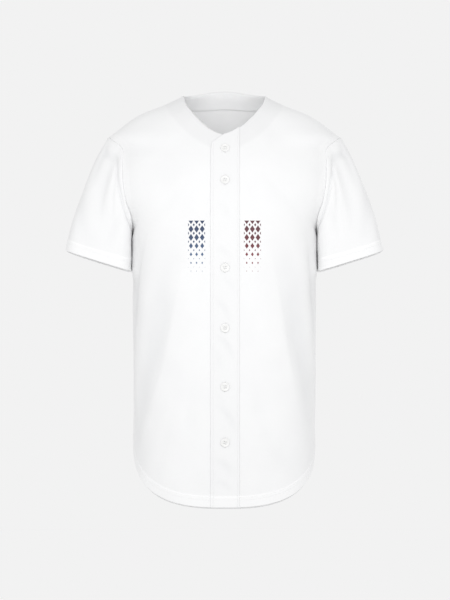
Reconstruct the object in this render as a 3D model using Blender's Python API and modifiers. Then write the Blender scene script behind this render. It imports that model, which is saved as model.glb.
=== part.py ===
"""Full-button baseball jersey, filled out as if it were worn, with nobody in it.

The front faces -Y and +Z is up. The origin lies midway between the two neck points, where the wearer holds
the jersey up. Angles go round the body: 0 is centre front, 90 degrees the wearer's left side at +X and 180
centre back. The outer faces follow one form, so neighbouring pieces meet along the same curves.
"""

import math

import bmesh
import bpy
import numpy as np
from mathutils import Vector

# Driving sizes, in metres
FRONT_LENGTH = 0.748  # neck point down to the front hem
BACK_LENGTH = 0.764  # neck point down to the back hem
SIDE_LENGTH = 0.642  # neck point down to where the hem rises at the side seams
HEM_SOFTNESS = 0.13  # rounds the hem where it turns at the side seams
HEM_SQUARENESS = 0.92  # under 1 drops the hem faster beside the seams
BACK_NECK_RISE = 0.012  # centre back neck above the neck points
NECK_HALF_WIDTH = 0.076
SHOULDER_TIP = -0.077  # height of the outer end of the shoulder seam
UNDERARM = -0.250  # height of the lowest point of the armhole
CLOTH = 0.0015  # wall of one layer of cloth
SEAM_GAP = 0.0003  # between pieces that are sewn together
HEM_BAND = 0.0200  # turned hem of the body
CUFF_BAND = 0.0240  # turned hem of the sleeves
BAND_RAISE = 0.0005  # how far a turned hem stands out
BAND_STEP = 0.0020  # width of the step above a turned hem
PLACKET_THICKNESS = 0.0018  # the button band, two layers folded
PLACKET_EDGE = -0.025  # free edge of the button band, across from centre front
PLACKET_STITCH = 0.027  # edge of the band that is sewn down
UNDERLAP_EDGE = 0.022  # how far the wearer's right front runs under the band
FACING_WIDTH = 0.036
FACING_DEPTH = 0.0031  # outer face of the facing, below the form
FACING_THICKNESS = 0.0010
FACING_END = 0.031  # the facing stops here, beside the band
BUTTON_RADIUS = 0.0080
BUTTON_THICKNESS = 0.0030
BUTTON_ACROSS = 0.001
BUTTON_SEAT = 0.0004  # between a button and the band
BUTTON_HEIGHTS = (-0.1025, -0.160, -0.3173, -0.4255, -0.531, -0.6312)

# Level sections of the filled-out body, from the back neck down.
# Columns: height, half breadth, front depth, back depth, squareness
SECTIONS = (
    (0.014, 0.0680, 0.0290, 0.0520, 2.20),
    (0.000, 0.0760, 0.0330, 0.0560, 2.20),
    (-0.014, 0.1005, 0.0450, 0.0640, 2.30),
    (-0.037, 0.1570, 0.0620, 0.0745, 2.40),
    (-0.059, 0.1900, 0.0755, 0.0835, 2.40),
    (-0.077, 0.2125, 0.0860, 0.0905, 2.35),
    (-0.098, 0.2090, 0.0980, 0.0980, 2.20),
    (-0.120, 0.2170, 0.1080, 0.1050, 2.20),
    (-0.164, 0.2195, 0.1220, 0.1150, 2.20),
    (-0.200, 0.2035, 0.1290, 0.1190, 2.25),
    (-0.217, 0.1870, 0.1305, 0.1200, 2.40),
    (-0.235, 0.1745, 0.1315, 0.1205, 2.60),
    (-0.250, 0.1692, 0.1315, 0.1205, 2.75),
    (-0.275, 0.1670, 0.1315, 0.1200, 2.85),
    (-0.340, 0.1670, 0.1300, 0.1175, 2.85),
    (-0.450, 0.1670, 0.1270, 0.1145, 2.80),
    (-0.560, 0.1665, 0.1250, 0.1140, 2.75),
    (-0.660, 0.1665, 0.1240, 0.1155, 2.70),
    (-0.780, 0.1665, 0.1230, 0.1180, 2.70),
)

# The neckline of the wearer's left front, from the point of the V up to the neck point.
# Columns: distance across from centre front, height
V_ACROSS = -0.0025
V_HEIGHT = -0.0765
NECKLINE = (
    (V_ACROSS, V_HEIGHT),
    (0.0123, -0.0708),
    (0.0224, -0.0650),
    (0.0352, -0.0568),
    (0.0454, -0.0472),
    (0.0545, -0.0373),
    (0.0610, -0.0290),
    (0.0704, -0.0160),
    (0.0744, -0.0052),
    (NECK_HALF_WIDTH, 0.0000),
)
# Past the V each front's top edge rounds down to its free edge. Columns: distance past the V, drop below it
CORNER = (
    (0.0000, 0.0000),
    (0.0072, 0.0043),
    (0.0148, 0.0108),
    (0.0212, 0.0195),
    (0.0225, 0.0275),
)

# The armhole runs from the shoulder tip to the underarm, bulging to the front and to the back
ARMHOLE_FRONT_REACH = 0.073
ARMHOLE_BACK_REACH = 0.068
ARMHOLE_FULLNESS = 0.75  # under 1 squares the curve
ARMHOLE_EGG = 0.10  # above 0 makes it wider low down

# Soft troughs in the body cloth, alike on both sides.
# Columns: from angle, from height, to angle, to height, depth, width
BODY_FOLDS = (
    (48, -0.285, 74, -0.600, 0.0050, 0.016),
    (66, -0.270, 84, -0.470, 0.0035, 0.014),
    (112, -0.290, 104, -0.560, 0.0050, 0.017),
    (138, -0.300, 126, -0.640, 0.0040, 0.019),
    (163, -0.360, 158, -0.690, 0.0030, 0.020),
)
FOLD_ARM = 0.150  # metres of cloth for each radian of angle, where folds are measured
FOLD_ENDS = 0.35  # share of its depth that a fold has at its two ends

# The sleeve's lower edge is an oval, wide across and less deep
CUFF_OUTER = (0.2910, -0.2815)  # across and height of the outer end of the oval
CUFF_INNER = (0.1702, -0.3230)
CUFF_MIDDLE_DEPTH = -0.006
CUFF_HALF_DEPTH = 0.061
CUFF_BACK_DROP = 0.0040  # the back of the oval hangs lower
# Lines of cloth run from the armhole to the cuff. Places go round from the outer side, 0, by the front, 0.25,
# to the inner side, 0.5, and the back mirrors the front.
# Columns: place round, then across, ahead and up of the way a line leaves, and of the way it arrives
SLEEVE_LINES = (
    (0.000, 0.106, 0.000, -0.156, 0.040, 0.000, -0.196),
    (0.125, 0.100, 0.022, -0.112, 0.032, -0.008, -0.160),
    (0.250, 0.082, 0.030, -0.082, 0.022, -0.012, -0.125),
    (0.375, 0.030, 0.012, -0.055, 0.006, -0.006, -0.085),
    (0.440, 0.012, 0.004, -0.022, 0.000, -0.002, -0.072),
    (0.500, 0.012, 0.000, -0.008, -0.002, 0.000, -0.068),
)
# Soft troughs in the sleeve, in shares of the way round and of the way down.
# Columns: from round, from down, to round, to down, depth, width
SLEEVE_FOLDS = (
    (0.185, 0.10, 0.225, 0.72, 0.0035, 0.012),
    (0.800, 0.12, 0.770, 0.75, 0.0035, 0.013),
    (0.100, 0.50, 0.180, 0.84, 0.0020, 0.012),
)
SLEEVE_ROUND = 0.400  # metres of cloth round the sleeve, where folds are measured
SLEEVE_DOWN = 0.190
MITRE_LIMIT = 0.45  # keeps the seam between body and sleeve from growing long where they meet sharply

# How finely the solids are divided
NECK_COLUMNS = 8
SHOULDER_COLUMNS = 8
SIDE_ROWS = 10
ARMHOLE_ROWS = 13
PLAIN_FRONT_ROWS = 8  # of the armhole rows, those below the neckline's corner
ROW_EASE = 1.5  # over 1 sets the rows closer near the shoulder
CORNER_LEVEL = -0.113  # height of a front row just below the corner
CENTRE_ROW = -0.285  # height at centre front and back of the row that starts at the underarm
SLEEVE_ROWS = 7
FACING_STEPS = 48
FACING_RIBS = 4
FACING_WALK = 6  # short steps walked over the form for each rib
FACING_BACK_SHARE = 0.42  # share of half the neck edge that lies behind the neck points
BUTTON_SEGMENTS = 18
BAND_COLUMNS = (-0.025, -0.0235, -0.019, -0.012, V_ACROSS, 0.010, 0.022, 0.027)
CURVE_SAMPLES = 400
SMALL = 1e-4  # step for slopes on the form, in radians and metres
SLEEVE_STEP = 2e-3  # step for slopes on the sleeve, in shares
NEAREST_STEPS = 12

# A button's half profile as shares of its radius and thickness, from the top of its dish down the outside
BUTTON_PROFILE = (
    (0.00, 0.72),
    (0.55, 0.66),
    (0.72, 0.98),
    (0.88, 1.00),
    (1.00, 0.62),
    (0.93, 0.06),
    (0.80, 0.00),
    (0.00, 0.00),
)

QUARTER = math.pi / 2


def through(table, at):
    """A smooth curve through the rows of a table, read at values of its first column."""
    rows = np.array(sorted(table))
    x, y = rows[:, 0], rows[:, 1:]
    gaps = np.diff(x)[:, None]
    slopes = np.diff(y, axis=0) / gaps
    inner = (slopes[:-1] * gaps[1:] + slopes[1:] * gaps[:-1]) / (gaps[:-1] + gaps[1:])
    tangents = np.vstack([slopes[:1], inner, slopes[-1:]])
    at = np.clip(np.asarray(at, float), x[0], x[-1])
    i = np.clip(np.searchsorted(x, at, side="right") - 1, 0, len(x) - 2)
    h = (x[i + 1] - x[i])[..., None]
    t = (at - x[i])[..., None] / h
    return (
        (1 + 2 * t) * (1 - t) ** 2 * y[i]
        + t * (1 - t) ** 2 * h * tangents[i]
        + t * t * (3 - 2 * t) * y[i + 1]
        + t * t * (t - 1) * h * tangents[i + 1]
    )


def unit(vectors):
    return vectors / np.maximum(np.linalg.norm(vectors, axis=-1, keepdims=True), 1e-12)


def even_steps(curve, count, low=0.0, high=1.0):
    """Values from low to high that step evenly along a curve of points."""
    fine = np.linspace(low, high, CURVE_SAMPLES)
    steps = np.linalg.norm(np.diff(curve(fine), axis=0), axis=1)
    length = np.concatenate([[0], np.cumsum(steps)])
    return np.interp(np.linspace(0, length[-1], count + 1), length, fine)


def row_shares(count):
    """Shares of the way down from the shoulder, closer together where the cloth turns over it."""
    return np.linspace(0, 1, count + 1) ** ROW_EASE


def section(height):
    """Half breadth, front depth, back depth and squareness of the body at a height."""
    return np.moveaxis(through(SECTIONS, height), -1, 0)


def body_form(angle, height):
    """The smooth form that the body's cloth follows, without folds."""
    breadth, front, back, square = section(height)
    sine, cosine = np.sin(angle), np.cos(angle)
    depth = np.where(cosine > 0, front, back)
    reach = (np.abs(sine / breadth) ** square + np.abs(cosine / depth) ** square) ** (-1 / square)
    return np.stack([reach * sine, -reach * cosine, np.broadcast_to(height, reach.shape)], axis=-1)


def form_steps(angle, height):
    """How the form moves for each radian of angle and each metre of height."""
    round_it = body_form(angle + SMALL, height) - body_form(angle - SMALL, height)
    up = body_form(angle, height + SMALL) - body_form(angle, height - SMALL)
    return round_it / (2 * SMALL), up / (2 * SMALL)


def body_normal(angle, height):
    return unit(np.cross(*form_steps(angle, height)))


def slide(angle, height, shift):
    """Moves places on the form by about a shift in space."""
    steps = np.stack(form_steps(angle, height), axis=-1)
    move = np.einsum("...ij,...j->...i", np.linalg.pinv(steps), shift)
    return angle + move[..., 0], height + move[..., 1]


def nearest_on_form(points):
    """Angle and height of the places on the form that lie nearest to some points."""
    angle = np.arctan2(points[..., 0], -points[..., 1]) % (2 * math.pi)
    height = points[..., 2]
    for _ in range(NEAREST_STEPS):
        angle, height = slide(angle, height, points - body_form(angle, height))
    return np.stack([angle, height], axis=-1)


def trough(across, along, start, end, depth, width):
    """A soft trough between two places, deepest half way and gone past its ends."""
    run = np.subtract(end, start)
    share = ((across - start[0]) * run[0] + (along - start[1]) * run[1]) / (run @ run)
    held = np.clip(share, 0, 1)
    off = np.hypot(across - start[0] - held * run[0], along - start[1] - held * run[1])
    swell = FOLD_ENDS + (1 - FOLD_ENDS) * np.sin(math.pi * held)
    return depth * np.exp(-((off / width) ** 2)) * swell


def body_folds(angle, height):
    """Depth of the folds at a place. The two sides are alike."""
    turned = np.abs((angle + math.pi) % (2 * math.pi) - math.pi)
    total = np.zeros(np.shape(turned))
    for start, top, end, bottom, depth, width in BODY_FOLDS:
        ends = (math.radians(start) * FOLD_ARM, top), (math.radians(end) * FOLD_ARM, bottom)
        total = total + trough(turned * FOLD_ARM, height, *ends, depth, width)
    return total


def body_point(angle, height, lift=0.0):
    """The cloth's outer face, moved out by lift."""
    angle, height = np.broadcast_arrays(np.asarray(angle, float), np.asarray(height, float))
    out = np.asarray(lift - body_folds(angle, height))[..., None]
    return body_form(angle, height) + body_normal(angle, height) * out


def angle_at(across, height):
    """The angle of the place on the front with this distance from centre front."""
    breadth, front, _, square = section(height)
    share = np.clip(np.abs(across) / breadth, 0, 1)
    depth = front * (1 - share**square) ** (1 / square)
    return np.arctan2(across, depth)


def hem_height(angle):
    """The hem is a shirt tail: it rises from centre front and centre back to the side seams."""
    middle = -(FRONT_LENGTH + BACK_LENGTH) / 2
    _, front, back, _ = section(middle)
    ahead = np.cos(angle) > 0
    share = np.abs(body_form(angle, middle)[..., 1]) / np.where(ahead, front, back)
    share = np.sqrt(share**2 + HEM_SOFTNESS**2) - HEM_SOFTNESS
    share = share / (math.sqrt(1 + HEM_SOFTNESS**2) - HEM_SOFTNESS)
    tail = np.where(ahead, FRONT_LENGTH, BACK_LENGTH) - SIDE_LENGTH
    return -SIDE_LENGTH - tail * share**HEM_SQUARENESS


def neck_height(across):
    return through(NECKLINE, across)[..., 0]


def neck_edge(across):
    """The neckline in space, on the front of the +X side."""
    height = neck_height(across)
    return body_form(angle_at(across, height), height)


def band_top(across):
    """The top edge of the button band: the neckline, then the rounded corner past the V."""
    rounded = V_HEIGHT - through(CORNER, V_ACROSS - across)[..., 0]
    return np.where(across >= V_ACROSS, neck_height(np.maximum(across, V_ACROSS)), rounded)


def underlap_top(across):
    """The top edge of the wearer's right front: the mirrored neckline, then a corner under the band."""
    past = across - V_ACROSS
    fall = through(CORNER, past)[..., 0] + np.maximum(past - CORNER[-1][0], 0)
    mirrored = neck_height(np.maximum(V_ACROSS - past, V_ACROSS))
    return np.where(across <= V_ACROSS, mirrored, V_HEIGHT - fall)


def side_heights(hem, top, rows):
    """Heights of rows from a hem, over its turned band, to a place above."""
    return np.concatenate([[hem, hem + HEM_BAND], np.linspace(hem + HEM_BAND + BAND_STEP, top, rows + 1)])


def front_column(across, top):
    """Angles and heights of a level column of a front, from the hem up to its top edge."""
    hem = float(hem_height(angle_at(across, -FRONT_LENGTH)))
    plain = np.linspace(CENTRE_ROW, CORNER_LEVEL, PLAIN_FRONT_ROWS + 1)[1:]
    above = np.linspace(CORNER_LEVEL, top, ARMHOLE_ROWS - PLAIN_FRONT_ROWS + 1)[1:]
    heights = np.concatenate([side_heights(hem, CENTRE_ROW, SIDE_ROWS), plain, above])
    return np.stack([angle_at(across, heights), heights], axis=-1)


def armhole(turn, ahead):
    """Angle and height on the armhole: turn is 0 at the shoulder tip and pi at the underarm."""
    height = (SHOULDER_TIP + UNDERARM) / 2 + (SHOULDER_TIP - UNDERARM) / 2 * np.cos(turn)
    bulge = np.clip(np.sin(turn), 0, 1) ** ARMHOLE_FULLNESS * (1 - ARMHOLE_EGG * np.cos(turn))
    reach = bulge * (ARMHOLE_FRONT_REACH if ahead else ARMHOLE_BACK_REACH)
    breadth, front, back, square = section(height)
    depth = front if ahead else back
    across = breadth * (1 - np.clip(reach / depth, 0, 1) ** square) ** (1 / square)
    angle = np.arctan2(across, reach)
    return (angle if ahead else math.pi - angle), height


TURN_STEPS = 200
TURNS = {
    ahead: even_steps(lambda turn, way=ahead: body_form(*armhole(turn, way)), TURN_STEPS, 0, math.pi)
    for ahead in (True, False)
}


def armhole_rows(share, ahead):
    """Places on half the armhole, by the share of rows down from the tip."""
    turn = np.interp(share**ROW_EASE, np.linspace(0, 1, TURN_STEPS + 1), TURNS[ahead])
    return armhole(turn, ahead)


def armhole_place(round_it):
    """Angle and height on the whole armhole: 0 at the tip, 0.25 in front, 0.5 underarm, 0.75 behind."""
    round_it = np.asarray(round_it) % 1.0
    front = armhole_rows(np.clip(round_it * 2, 0, 1), True)
    back = armhole_rows(np.clip(2 - round_it * 2, 0, 1), False)
    ahead = round_it <= 0.5
    return np.where(ahead, front[0], back[0]), np.where(ahead, front[1], back[1])


def coons(bottom, top, left, right):
    """Fills a patch of the form between four rows of angle and height."""
    edges = bottom, top, left, right
    bottom, top, left, right = (body_form(edge[:, 0], edge[:, 1]) for edge in edges)
    u = np.linspace(0, 1, len(bottom))[None, :, None]
    v = np.linspace(0, 1, len(left))[:, None, None]
    ruled = (1 - v) * bottom[None] + v * top[None] + (1 - u) * left[:, None] + u * right[:, None]
    corners = (
        (1 - u) * (1 - v) * bottom[0] + u * (1 - v) * bottom[-1]
        + (1 - u) * v * top[0] + u * v * top[-1]
    )
    places = nearest_on_form(ruled - corners)
    places[0], places[-1], places[:, 0], places[:, -1] = edges
    return places


def seam_angle(height, ahead):
    """The side and shoulder seams, half a seam gap to the front or back of the widest line."""
    return QUARTER + (-1 if ahead else 1) * SEAM_GAP / 2 / section(height)[0]


def half_panel(centre_angle, centre, neck, ahead):
    """Angles and heights of half a body panel, from its centre column to the side seam.

    centre_angle gives the centre column's angle at a height, centre is that column from the hem up, and neck
    is the neckline from that column to the neck point.
    """
    right = np.stack(armhole_rows(np.linspace(1, 0, ARMHOLE_ROWS + 1), ahead), axis=-1)
    right[[0, -1], 0] = seam_angle(right[[0, -1], 1], ahead)
    levels = even_steps(
        lambda z: body_form(np.full(len(z), QUARTER), z), SHOULDER_COLUMNS, 0.0, SHOULDER_TIP
    )
    shoulder = np.stack([seam_angle(levels, ahead), levels], axis=-1)
    top = np.concatenate([neck, shoulder[1:]])
    left = centre[-ARMHOLE_ROWS - 1 :]
    share = np.linspace(0, 1, len(top))
    bottom = np.stack(
        [left[0, 0] + (right[0, 0] - left[0, 0]) * share, UNDERARM + (CENTRE_ROW - UNDERARM) * (1 - share**3)],
        axis=-1,
    )
    below = []
    for part, height in zip(share, bottom[:, 1]):
        hem = float(hem_height(centre_angle(-FRONT_LENGTH) * (1 - part) + right[0, 0] * part))
        levels = side_heights(hem, height, SIDE_ROWS)
        middle = centre_angle(levels)
        below.append(np.stack([middle + (seam_angle(levels, ahead) - middle) * part, levels], axis=-1))
    return np.concatenate([np.stack(below, axis=1)[:-1], coons(bottom, top, left, right)])


def cuff_point(round_it):
    turn = 2 * math.pi * np.asarray(round_it)
    out, ahead = np.cos(turn)[..., None], np.sin(turn)[..., None]
    outer = np.array((CUFF_OUTER[0], CUFF_MIDDLE_DEPTH, CUFF_OUTER[1]))
    inner = np.array((CUFF_INNER[0], CUFF_MIDDLE_DEPTH, CUFF_INNER[1]))
    forward = np.array((0.0, -CUFF_HALF_DEPTH, CUFF_BACK_DROP / 2))
    return (outer + inner) / 2 + out * (outer - inner) / 2 + ahead * forward


def sleeve_line(round_it):
    """The ways in which a line of cloth leaves the armhole and reaches the cuff."""
    round_it = np.asarray(round_it) % 1.0
    behind = round_it > 0.5
    line = through(SLEEVE_LINES, np.where(behind, 1 - round_it, round_it))
    signs = np.ones(behind.shape + (3,))
    signs[..., 1] = np.where(behind, 1.0, -1.0)
    return line[..., :3] * signs, line[..., 3:] * signs


def sleeve_form(round_it, down):
    """The smooth form of the wearer's left sleeve: down is 0 at the armhole and 1 at the cuff."""
    round_it, down = np.broadcast_arrays(np.asarray(round_it, float), np.asarray(down, float))
    start, end = body_point(*armhole_place(round_it)), cuff_point(round_it)
    leave, arrive = sleeve_line(round_it)
    t = down[..., None]
    return (
        (1 + 2 * t) * (1 - t) ** 2 * start + t * (1 - t) ** 2 * leave
        + t * t * (3 - 2 * t) * end + t * t * (t - 1) * arrive
    )


def sleeve_normal(round_it, down):
    low, high = np.maximum(down - SLEEVE_STEP, 0), np.minimum(down + SLEEVE_STEP, 1)
    along = sleeve_form(round_it, high) - sleeve_form(round_it, low)
    around = sleeve_form(round_it + SLEEVE_STEP, down) - sleeve_form(round_it - SLEEVE_STEP, down)
    return unit(np.cross(around, along))


def sleeve_folds(round_it, down):
    total = np.zeros(np.shape(round_it))
    for start, top, end, bottom, depth, width in SLEEVE_FOLDS:
        ends = (start * SLEEVE_ROUND, top * SLEEVE_DOWN), (end * SLEEVE_ROUND, bottom * SLEEVE_DOWN)
        total = total + trough(round_it * SLEEVE_ROUND, down * SLEEVE_DOWN, *ends, depth, width)
    return total


def seam_mitre(round_it):
    """Where body and sleeve meet: their shared way out, its stretch, and the way from body to sleeve."""
    body = body_normal(*armhole_place(round_it))
    shared = unit(body + sleeve_normal(round_it, np.zeros(np.shape(round_it))))
    along = unit(sleeve_form(round_it + SLEEVE_STEP, 0.0) - sleeve_form(round_it - SLEEVE_STEP, 0.0))
    outward = unit(np.cross(along, shared))
    leave = sleeve_line(round_it)[0]
    outward = outward * np.sign(np.sum(outward * leave, axis=-1, keepdims=True))
    stretch = 1 / np.maximum(np.sum(shared * body, axis=-1, keepdims=True), MITRE_LIMIT)
    return shared, stretch, outward


def material_named(name, colour, roughness):
    material = bpy.data.materials.new(name)
    material.use_nodes = True
    shader = material.node_tree.nodes["Principled BSDF"]
    shader.inputs["Base Color"].default_value = (*colour, 1.0)
    shader.inputs["Roughness"].default_value = roughness
    shader.inputs["Metallic"].default_value = 0.0
    return material


def wall(name, outer, inner, collection, material, tube=False):
    """A closed wall of cloth lofted between two grids of points. A tube goes round on itself."""
    rows, columns = outer.shape[:2]
    model = bmesh.new()
    out, back = (
        [[model.verts.new(Vector(grid[r, c])) for c in range(columns)] for r in range(rows)]
        for grid in (outer, inner)
    )
    spans = [(c, (c + 1) % columns) for c in range(columns if tube else columns - 1)]
    for r in range(rows - 1):
        for c, n in spans:
            model.faces.new((out[r][c], out[r][n], out[r + 1][n], out[r + 1][c]))
            model.faces.new((back[r][c], back[r + 1][c], back[r + 1][n], back[r][n]))
        for c in () if tube else (0, columns - 1):
            model.faces.new((out[r][c], out[r + 1][c], back[r + 1][c], back[r][c]))
    for r in (0, rows - 1):
        for c, n in spans:
            model.faces.new((out[r][c], back[r][c], back[r][n], out[r][n]))
    bmesh.ops.recalc_face_normals(model, faces=model.faces[:])
    mesh = bpy.data.meshes.new(name)
    model.to_mesh(mesh)
    model.free()
    mesh.shade_smooth()
    mesh.set_sharp_from_angle(angle=math.radians(50))
    mesh.materials.append(material)
    collection.objects.link(bpy.data.objects.new(name, mesh))


def hem_lift(places):
    """Only the turned hem, the two lowest rows of a panel, stands out."""
    lift = np.zeros(places.shape[:2])
    lift[:2] = BAND_RAISE
    return lift


def panel_faces(places, ahead, armholes):
    """Outer and inner points of a body panel. Its armhole columns are mitred to the sleeves."""
    angle, height = places[..., 0], places[..., 1]
    outer = body_point(angle, height, hem_lift(places))
    inner = body_point(angle, height) - body_normal(angle, height) * CLOTH
    steps = np.linspace(0.5, 0.0, ARMHOLE_ROWS + 1)
    shared, stretch, outward = seam_mitre(steps if ahead else 1.0 - steps)
    rows = slice(-ARMHOLE_ROWS - 1, None)
    for column, side in armholes:
        mirror = np.array((side, 1.0, 1.0))
        outer[rows, column] -= outward * mirror * SEAM_GAP / 2
        inner[rows, column] = outer[rows, column] - shared * stretch * mirror * CLOTH
    return outer, inner


def add_front(name, side, edge, strip, collection, material):
    """One front, from its side seam to edge, and on under the button band through the strip's columns."""
    shift = 0.0 if side > 0 else -2 * V_ACROSS  # the V lies off centre, so the right neckline is wider
    across = even_steps(neck_edge, NECK_COLUMNS, edge - shift, NECK_HALF_WIDTH)
    levels = neck_height(across)
    across = across + shift * np.linspace(1, 0, NECK_COLUMNS + 1)
    neck = np.stack([angle_at(across, levels), levels], axis=-1)
    neck[-1] = (float(seam_angle(0.0, True)), 0.0)
    half = half_panel(lambda z: angle_at(edge, z), front_column(edge, levels[0]), neck, True)
    half[..., 0] *= side
    top_of = band_top if side > 0 else underlap_top
    columns = [front_column(x, float(top_of(x))) for x in strip]
    places = np.concatenate([np.stack(columns, axis=1), half], axis=1)
    outer, inner = panel_faces(places, True, [(places.shape[1] - 1, side)])
    wall(name, outer, inner, collection, material)


def add_back(collection, material):
    turn = np.linspace(math.pi, QUARTER, NECK_COLUMNS + 1)
    neck = np.stack([turn, BACK_NECK_RISE * np.cos(turn) ** 2], axis=-1)
    neck[-1] = (float(seam_angle(0.0, False)), 0.0)
    side = side_heights(float(hem_height(np.array(math.pi))), CENTRE_ROW, SIDE_ROWS)
    above = BACK_NECK_RISE + (CENTRE_ROW - BACK_NECK_RISE) * row_shares(ARMHOLE_ROWS)[-2::-1]
    heights = np.concatenate([side, above])
    centre = np.stack([np.full(len(heights), math.pi), heights], axis=-1)
    half = half_panel(lambda z: np.full(np.shape(z), math.pi), centre, neck, False)
    other = half[:, :0:-1].copy()
    other[..., 0] = 2 * math.pi - other[..., 0]
    places = np.concatenate([other, half], axis=1)
    outer, inner = panel_faces(places, False, [(0, -1), (places.shape[1] - 1, 1)])
    wall("back", outer, inner, collection, material)


def add_sleeves(collection, material):
    ring = ARMHOLE_ROWS * 2
    round_it = np.arange(ring) / ring
    lines = sleeve_form(round_it[None, :], np.linspace(0, 1, CURVE_SAMPLES)[:, None])
    lengths = np.linalg.norm(np.diff(lines, axis=0), axis=2).sum(0)
    top_of_band = 1 - (CUFF_BAND + BAND_STEP) / lengths
    rows = [share * top_of_band for share in np.linspace(0, 1, SLEEVE_ROWS + 1)]
    down = np.stack(rows + [1 - CUFF_BAND / lengths, np.ones(ring)])
    around = np.broadcast_to(round_it, down.shape)
    normals = sleeve_normal(around, down)
    base = sleeve_form(around, down) - normals * sleeve_folds(around, down)[..., None]
    lift = np.zeros(down.shape)
    lift[-2:] = BAND_RAISE
    outer, inner = base + normals * lift[..., None], base - normals * CLOTH
    shared, stretch, outward = seam_mitre(round_it)
    outer[0] = sleeve_form(round_it, 0.0) + outward * SEAM_GAP / 2
    inner[0] = outer[0] - shared * stretch * CLOTH
    for name, side in (("sleeve_left", 1), ("sleeve_right", -1)):
        mirror = np.array((side, 1.0, 1.0))
        wall(name, outer * mirror, inner * mirror, collection, material, tube=True)


def add_button_band(collection, material):
    """The folded band of the wearer's left front, lying over both fronts."""
    places = np.stack([front_column(x, float(band_top(x))) for x in BAND_COLUMNS], axis=1)
    lift = hem_lift(places) + SEAM_GAP
    inner = body_point(places[..., 0], places[..., 1], lift)
    outer = body_point(places[..., 0], places[..., 1], lift + PLACKET_THICKNESS)
    wall("button_band", outer, inner, collection, material)


def neck_loop(share):
    """Angle and height round the neck edge: 0 beside the band on the left, 1 beside it on the right."""
    share = np.asarray(share, float)
    side = np.abs(share * 2 - 1)  # 1 beside the band, 0 at centre back
    turn = math.pi - QUARTER * np.clip(side / FACING_BACK_SHARE, 0, 1)
    along = np.clip((side - FACING_BACK_SHARE) / (1 - FACING_BACK_SHARE), 0, 1)
    across = NECK_HALF_WIDTH + (FACING_END - NECK_HALF_WIDTH) * along
    level = neck_height(across)
    ahead = side > FACING_BACK_SHARE
    angle = np.where(ahead, angle_at(across, level), turn)
    height = np.where(ahead, level, BACK_NECK_RISE * np.cos(turn) ** 2)
    return np.where(share < 0.5, angle, 2 * math.pi - angle), height


def add_facing(collection, material):
    """The neck facing, a band inside the neck edge that shows through the opening."""
    angle, height = neck_loop(even_steps(lambda share: body_form(*neck_loop(share)), FACING_STEPS))
    along = unit(np.gradient(body_form(angle, height), axis=0))
    steps = FACING_RIBS * FACING_WALK
    rows = [np.stack([angle, height], axis=-1)]
    for _ in range(steps):
        away = unit(np.cross(along, body_normal(angle, height)))
        away = away * np.where(away[..., 2:] > 0, -1, 1)
        angle, height = slide(angle, height, away * FACING_WIDTH / steps)
        rows.append(np.stack([angle, height], axis=-1))
    places = np.stack(rows[::FACING_WALK])
    outer = body_point(places[..., 0], places[..., 1], -FACING_DEPTH)
    inner = body_point(places[..., 0], places[..., 1], -FACING_DEPTH - FACING_THICKNESS)
    wall("neck_facing", outer, inner, collection, material)


def add_buttons(collection, material):
    """Turned buttons, a raised rim round a shallow dish, seated on the band."""
    mesh = bpy.data.meshes.new("button")
    points = [(radius * BUTTON_RADIUS, 0.0, level * BUTTON_THICKNESS) for radius, level in BUTTON_PROFILE]
    mesh.from_pydata(points, [(i, i + 1) for i in range(len(points) - 1)], [])
    mesh.materials.append(material)
    for number, height in enumerate(BUTTON_HEIGHTS, start=1):
        button = bpy.data.objects.new(f"button_{number}", mesh)
        turn = button.modifiers.new("turned", "SCREW")
        turn.angle = 2 * math.pi
        turn.steps = turn.render_steps = BUTTON_SEGMENTS
        turn.use_merge_vertices = True
        turn.merge_threshold = 0.00005
        angle = angle_at(BUTTON_ACROSS, height)
        button.location = Vector(body_point(angle, height, SEAM_GAP + PLACKET_THICKNESS + BUTTON_SEAT))
        out = Vector(body_normal(angle, height))
        button.rotation_euler = out.to_track_quat("Z", "Y").to_euler()
        collection.objects.link(button)


def main():
    for thing in list(bpy.data.objects):
        bpy.data.objects.remove(thing)
    collection = bpy.data.collections.new("baseball_jersey")
    bpy.context.scene.collection.children.link(collection)
    cloth = material_named("white_jersey_knit", (0.90, 0.90, 0.90), 0.75)
    plastic = material_named("white_button_plastic", (0.86, 0.86, 0.85), 0.35)
    under_band = [x for x in reversed(BAND_COLUMNS) if PLACKET_EDGE < x <= UNDERLAP_EDGE]
    add_front("front_left", 1, PLACKET_STITCH, [UNDERLAP_EDGE + SEAM_GAP], collection, cloth)
    add_front("front_right", -1, -PLACKET_EDGE, under_band, collection, cloth)
    add_back(collection, cloth)
    add_sleeves(collection, cloth)
    add_button_band(collection, cloth)
    add_facing(collection, cloth)
    add_buttons(collection, plastic)


main()
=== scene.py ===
import math

import bmesh
import bpy
import numpy as np
from mathutils import Matrix, Vector
from mathutils.kdtree import KDTree


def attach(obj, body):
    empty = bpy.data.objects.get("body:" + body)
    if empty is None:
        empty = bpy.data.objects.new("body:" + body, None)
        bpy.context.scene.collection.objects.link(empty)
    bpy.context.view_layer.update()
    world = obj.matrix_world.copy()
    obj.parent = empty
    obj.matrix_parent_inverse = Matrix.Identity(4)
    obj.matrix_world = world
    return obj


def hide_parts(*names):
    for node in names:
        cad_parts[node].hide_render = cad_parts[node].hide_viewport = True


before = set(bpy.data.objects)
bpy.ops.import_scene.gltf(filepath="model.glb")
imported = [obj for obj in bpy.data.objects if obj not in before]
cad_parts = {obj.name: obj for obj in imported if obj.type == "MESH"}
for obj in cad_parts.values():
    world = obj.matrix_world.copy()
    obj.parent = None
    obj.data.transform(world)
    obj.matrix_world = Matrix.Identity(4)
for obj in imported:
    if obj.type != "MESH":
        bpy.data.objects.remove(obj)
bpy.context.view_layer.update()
scene = bpy.context.scene
print("frame loaded:", ", ".join(sorted(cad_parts)))

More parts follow.
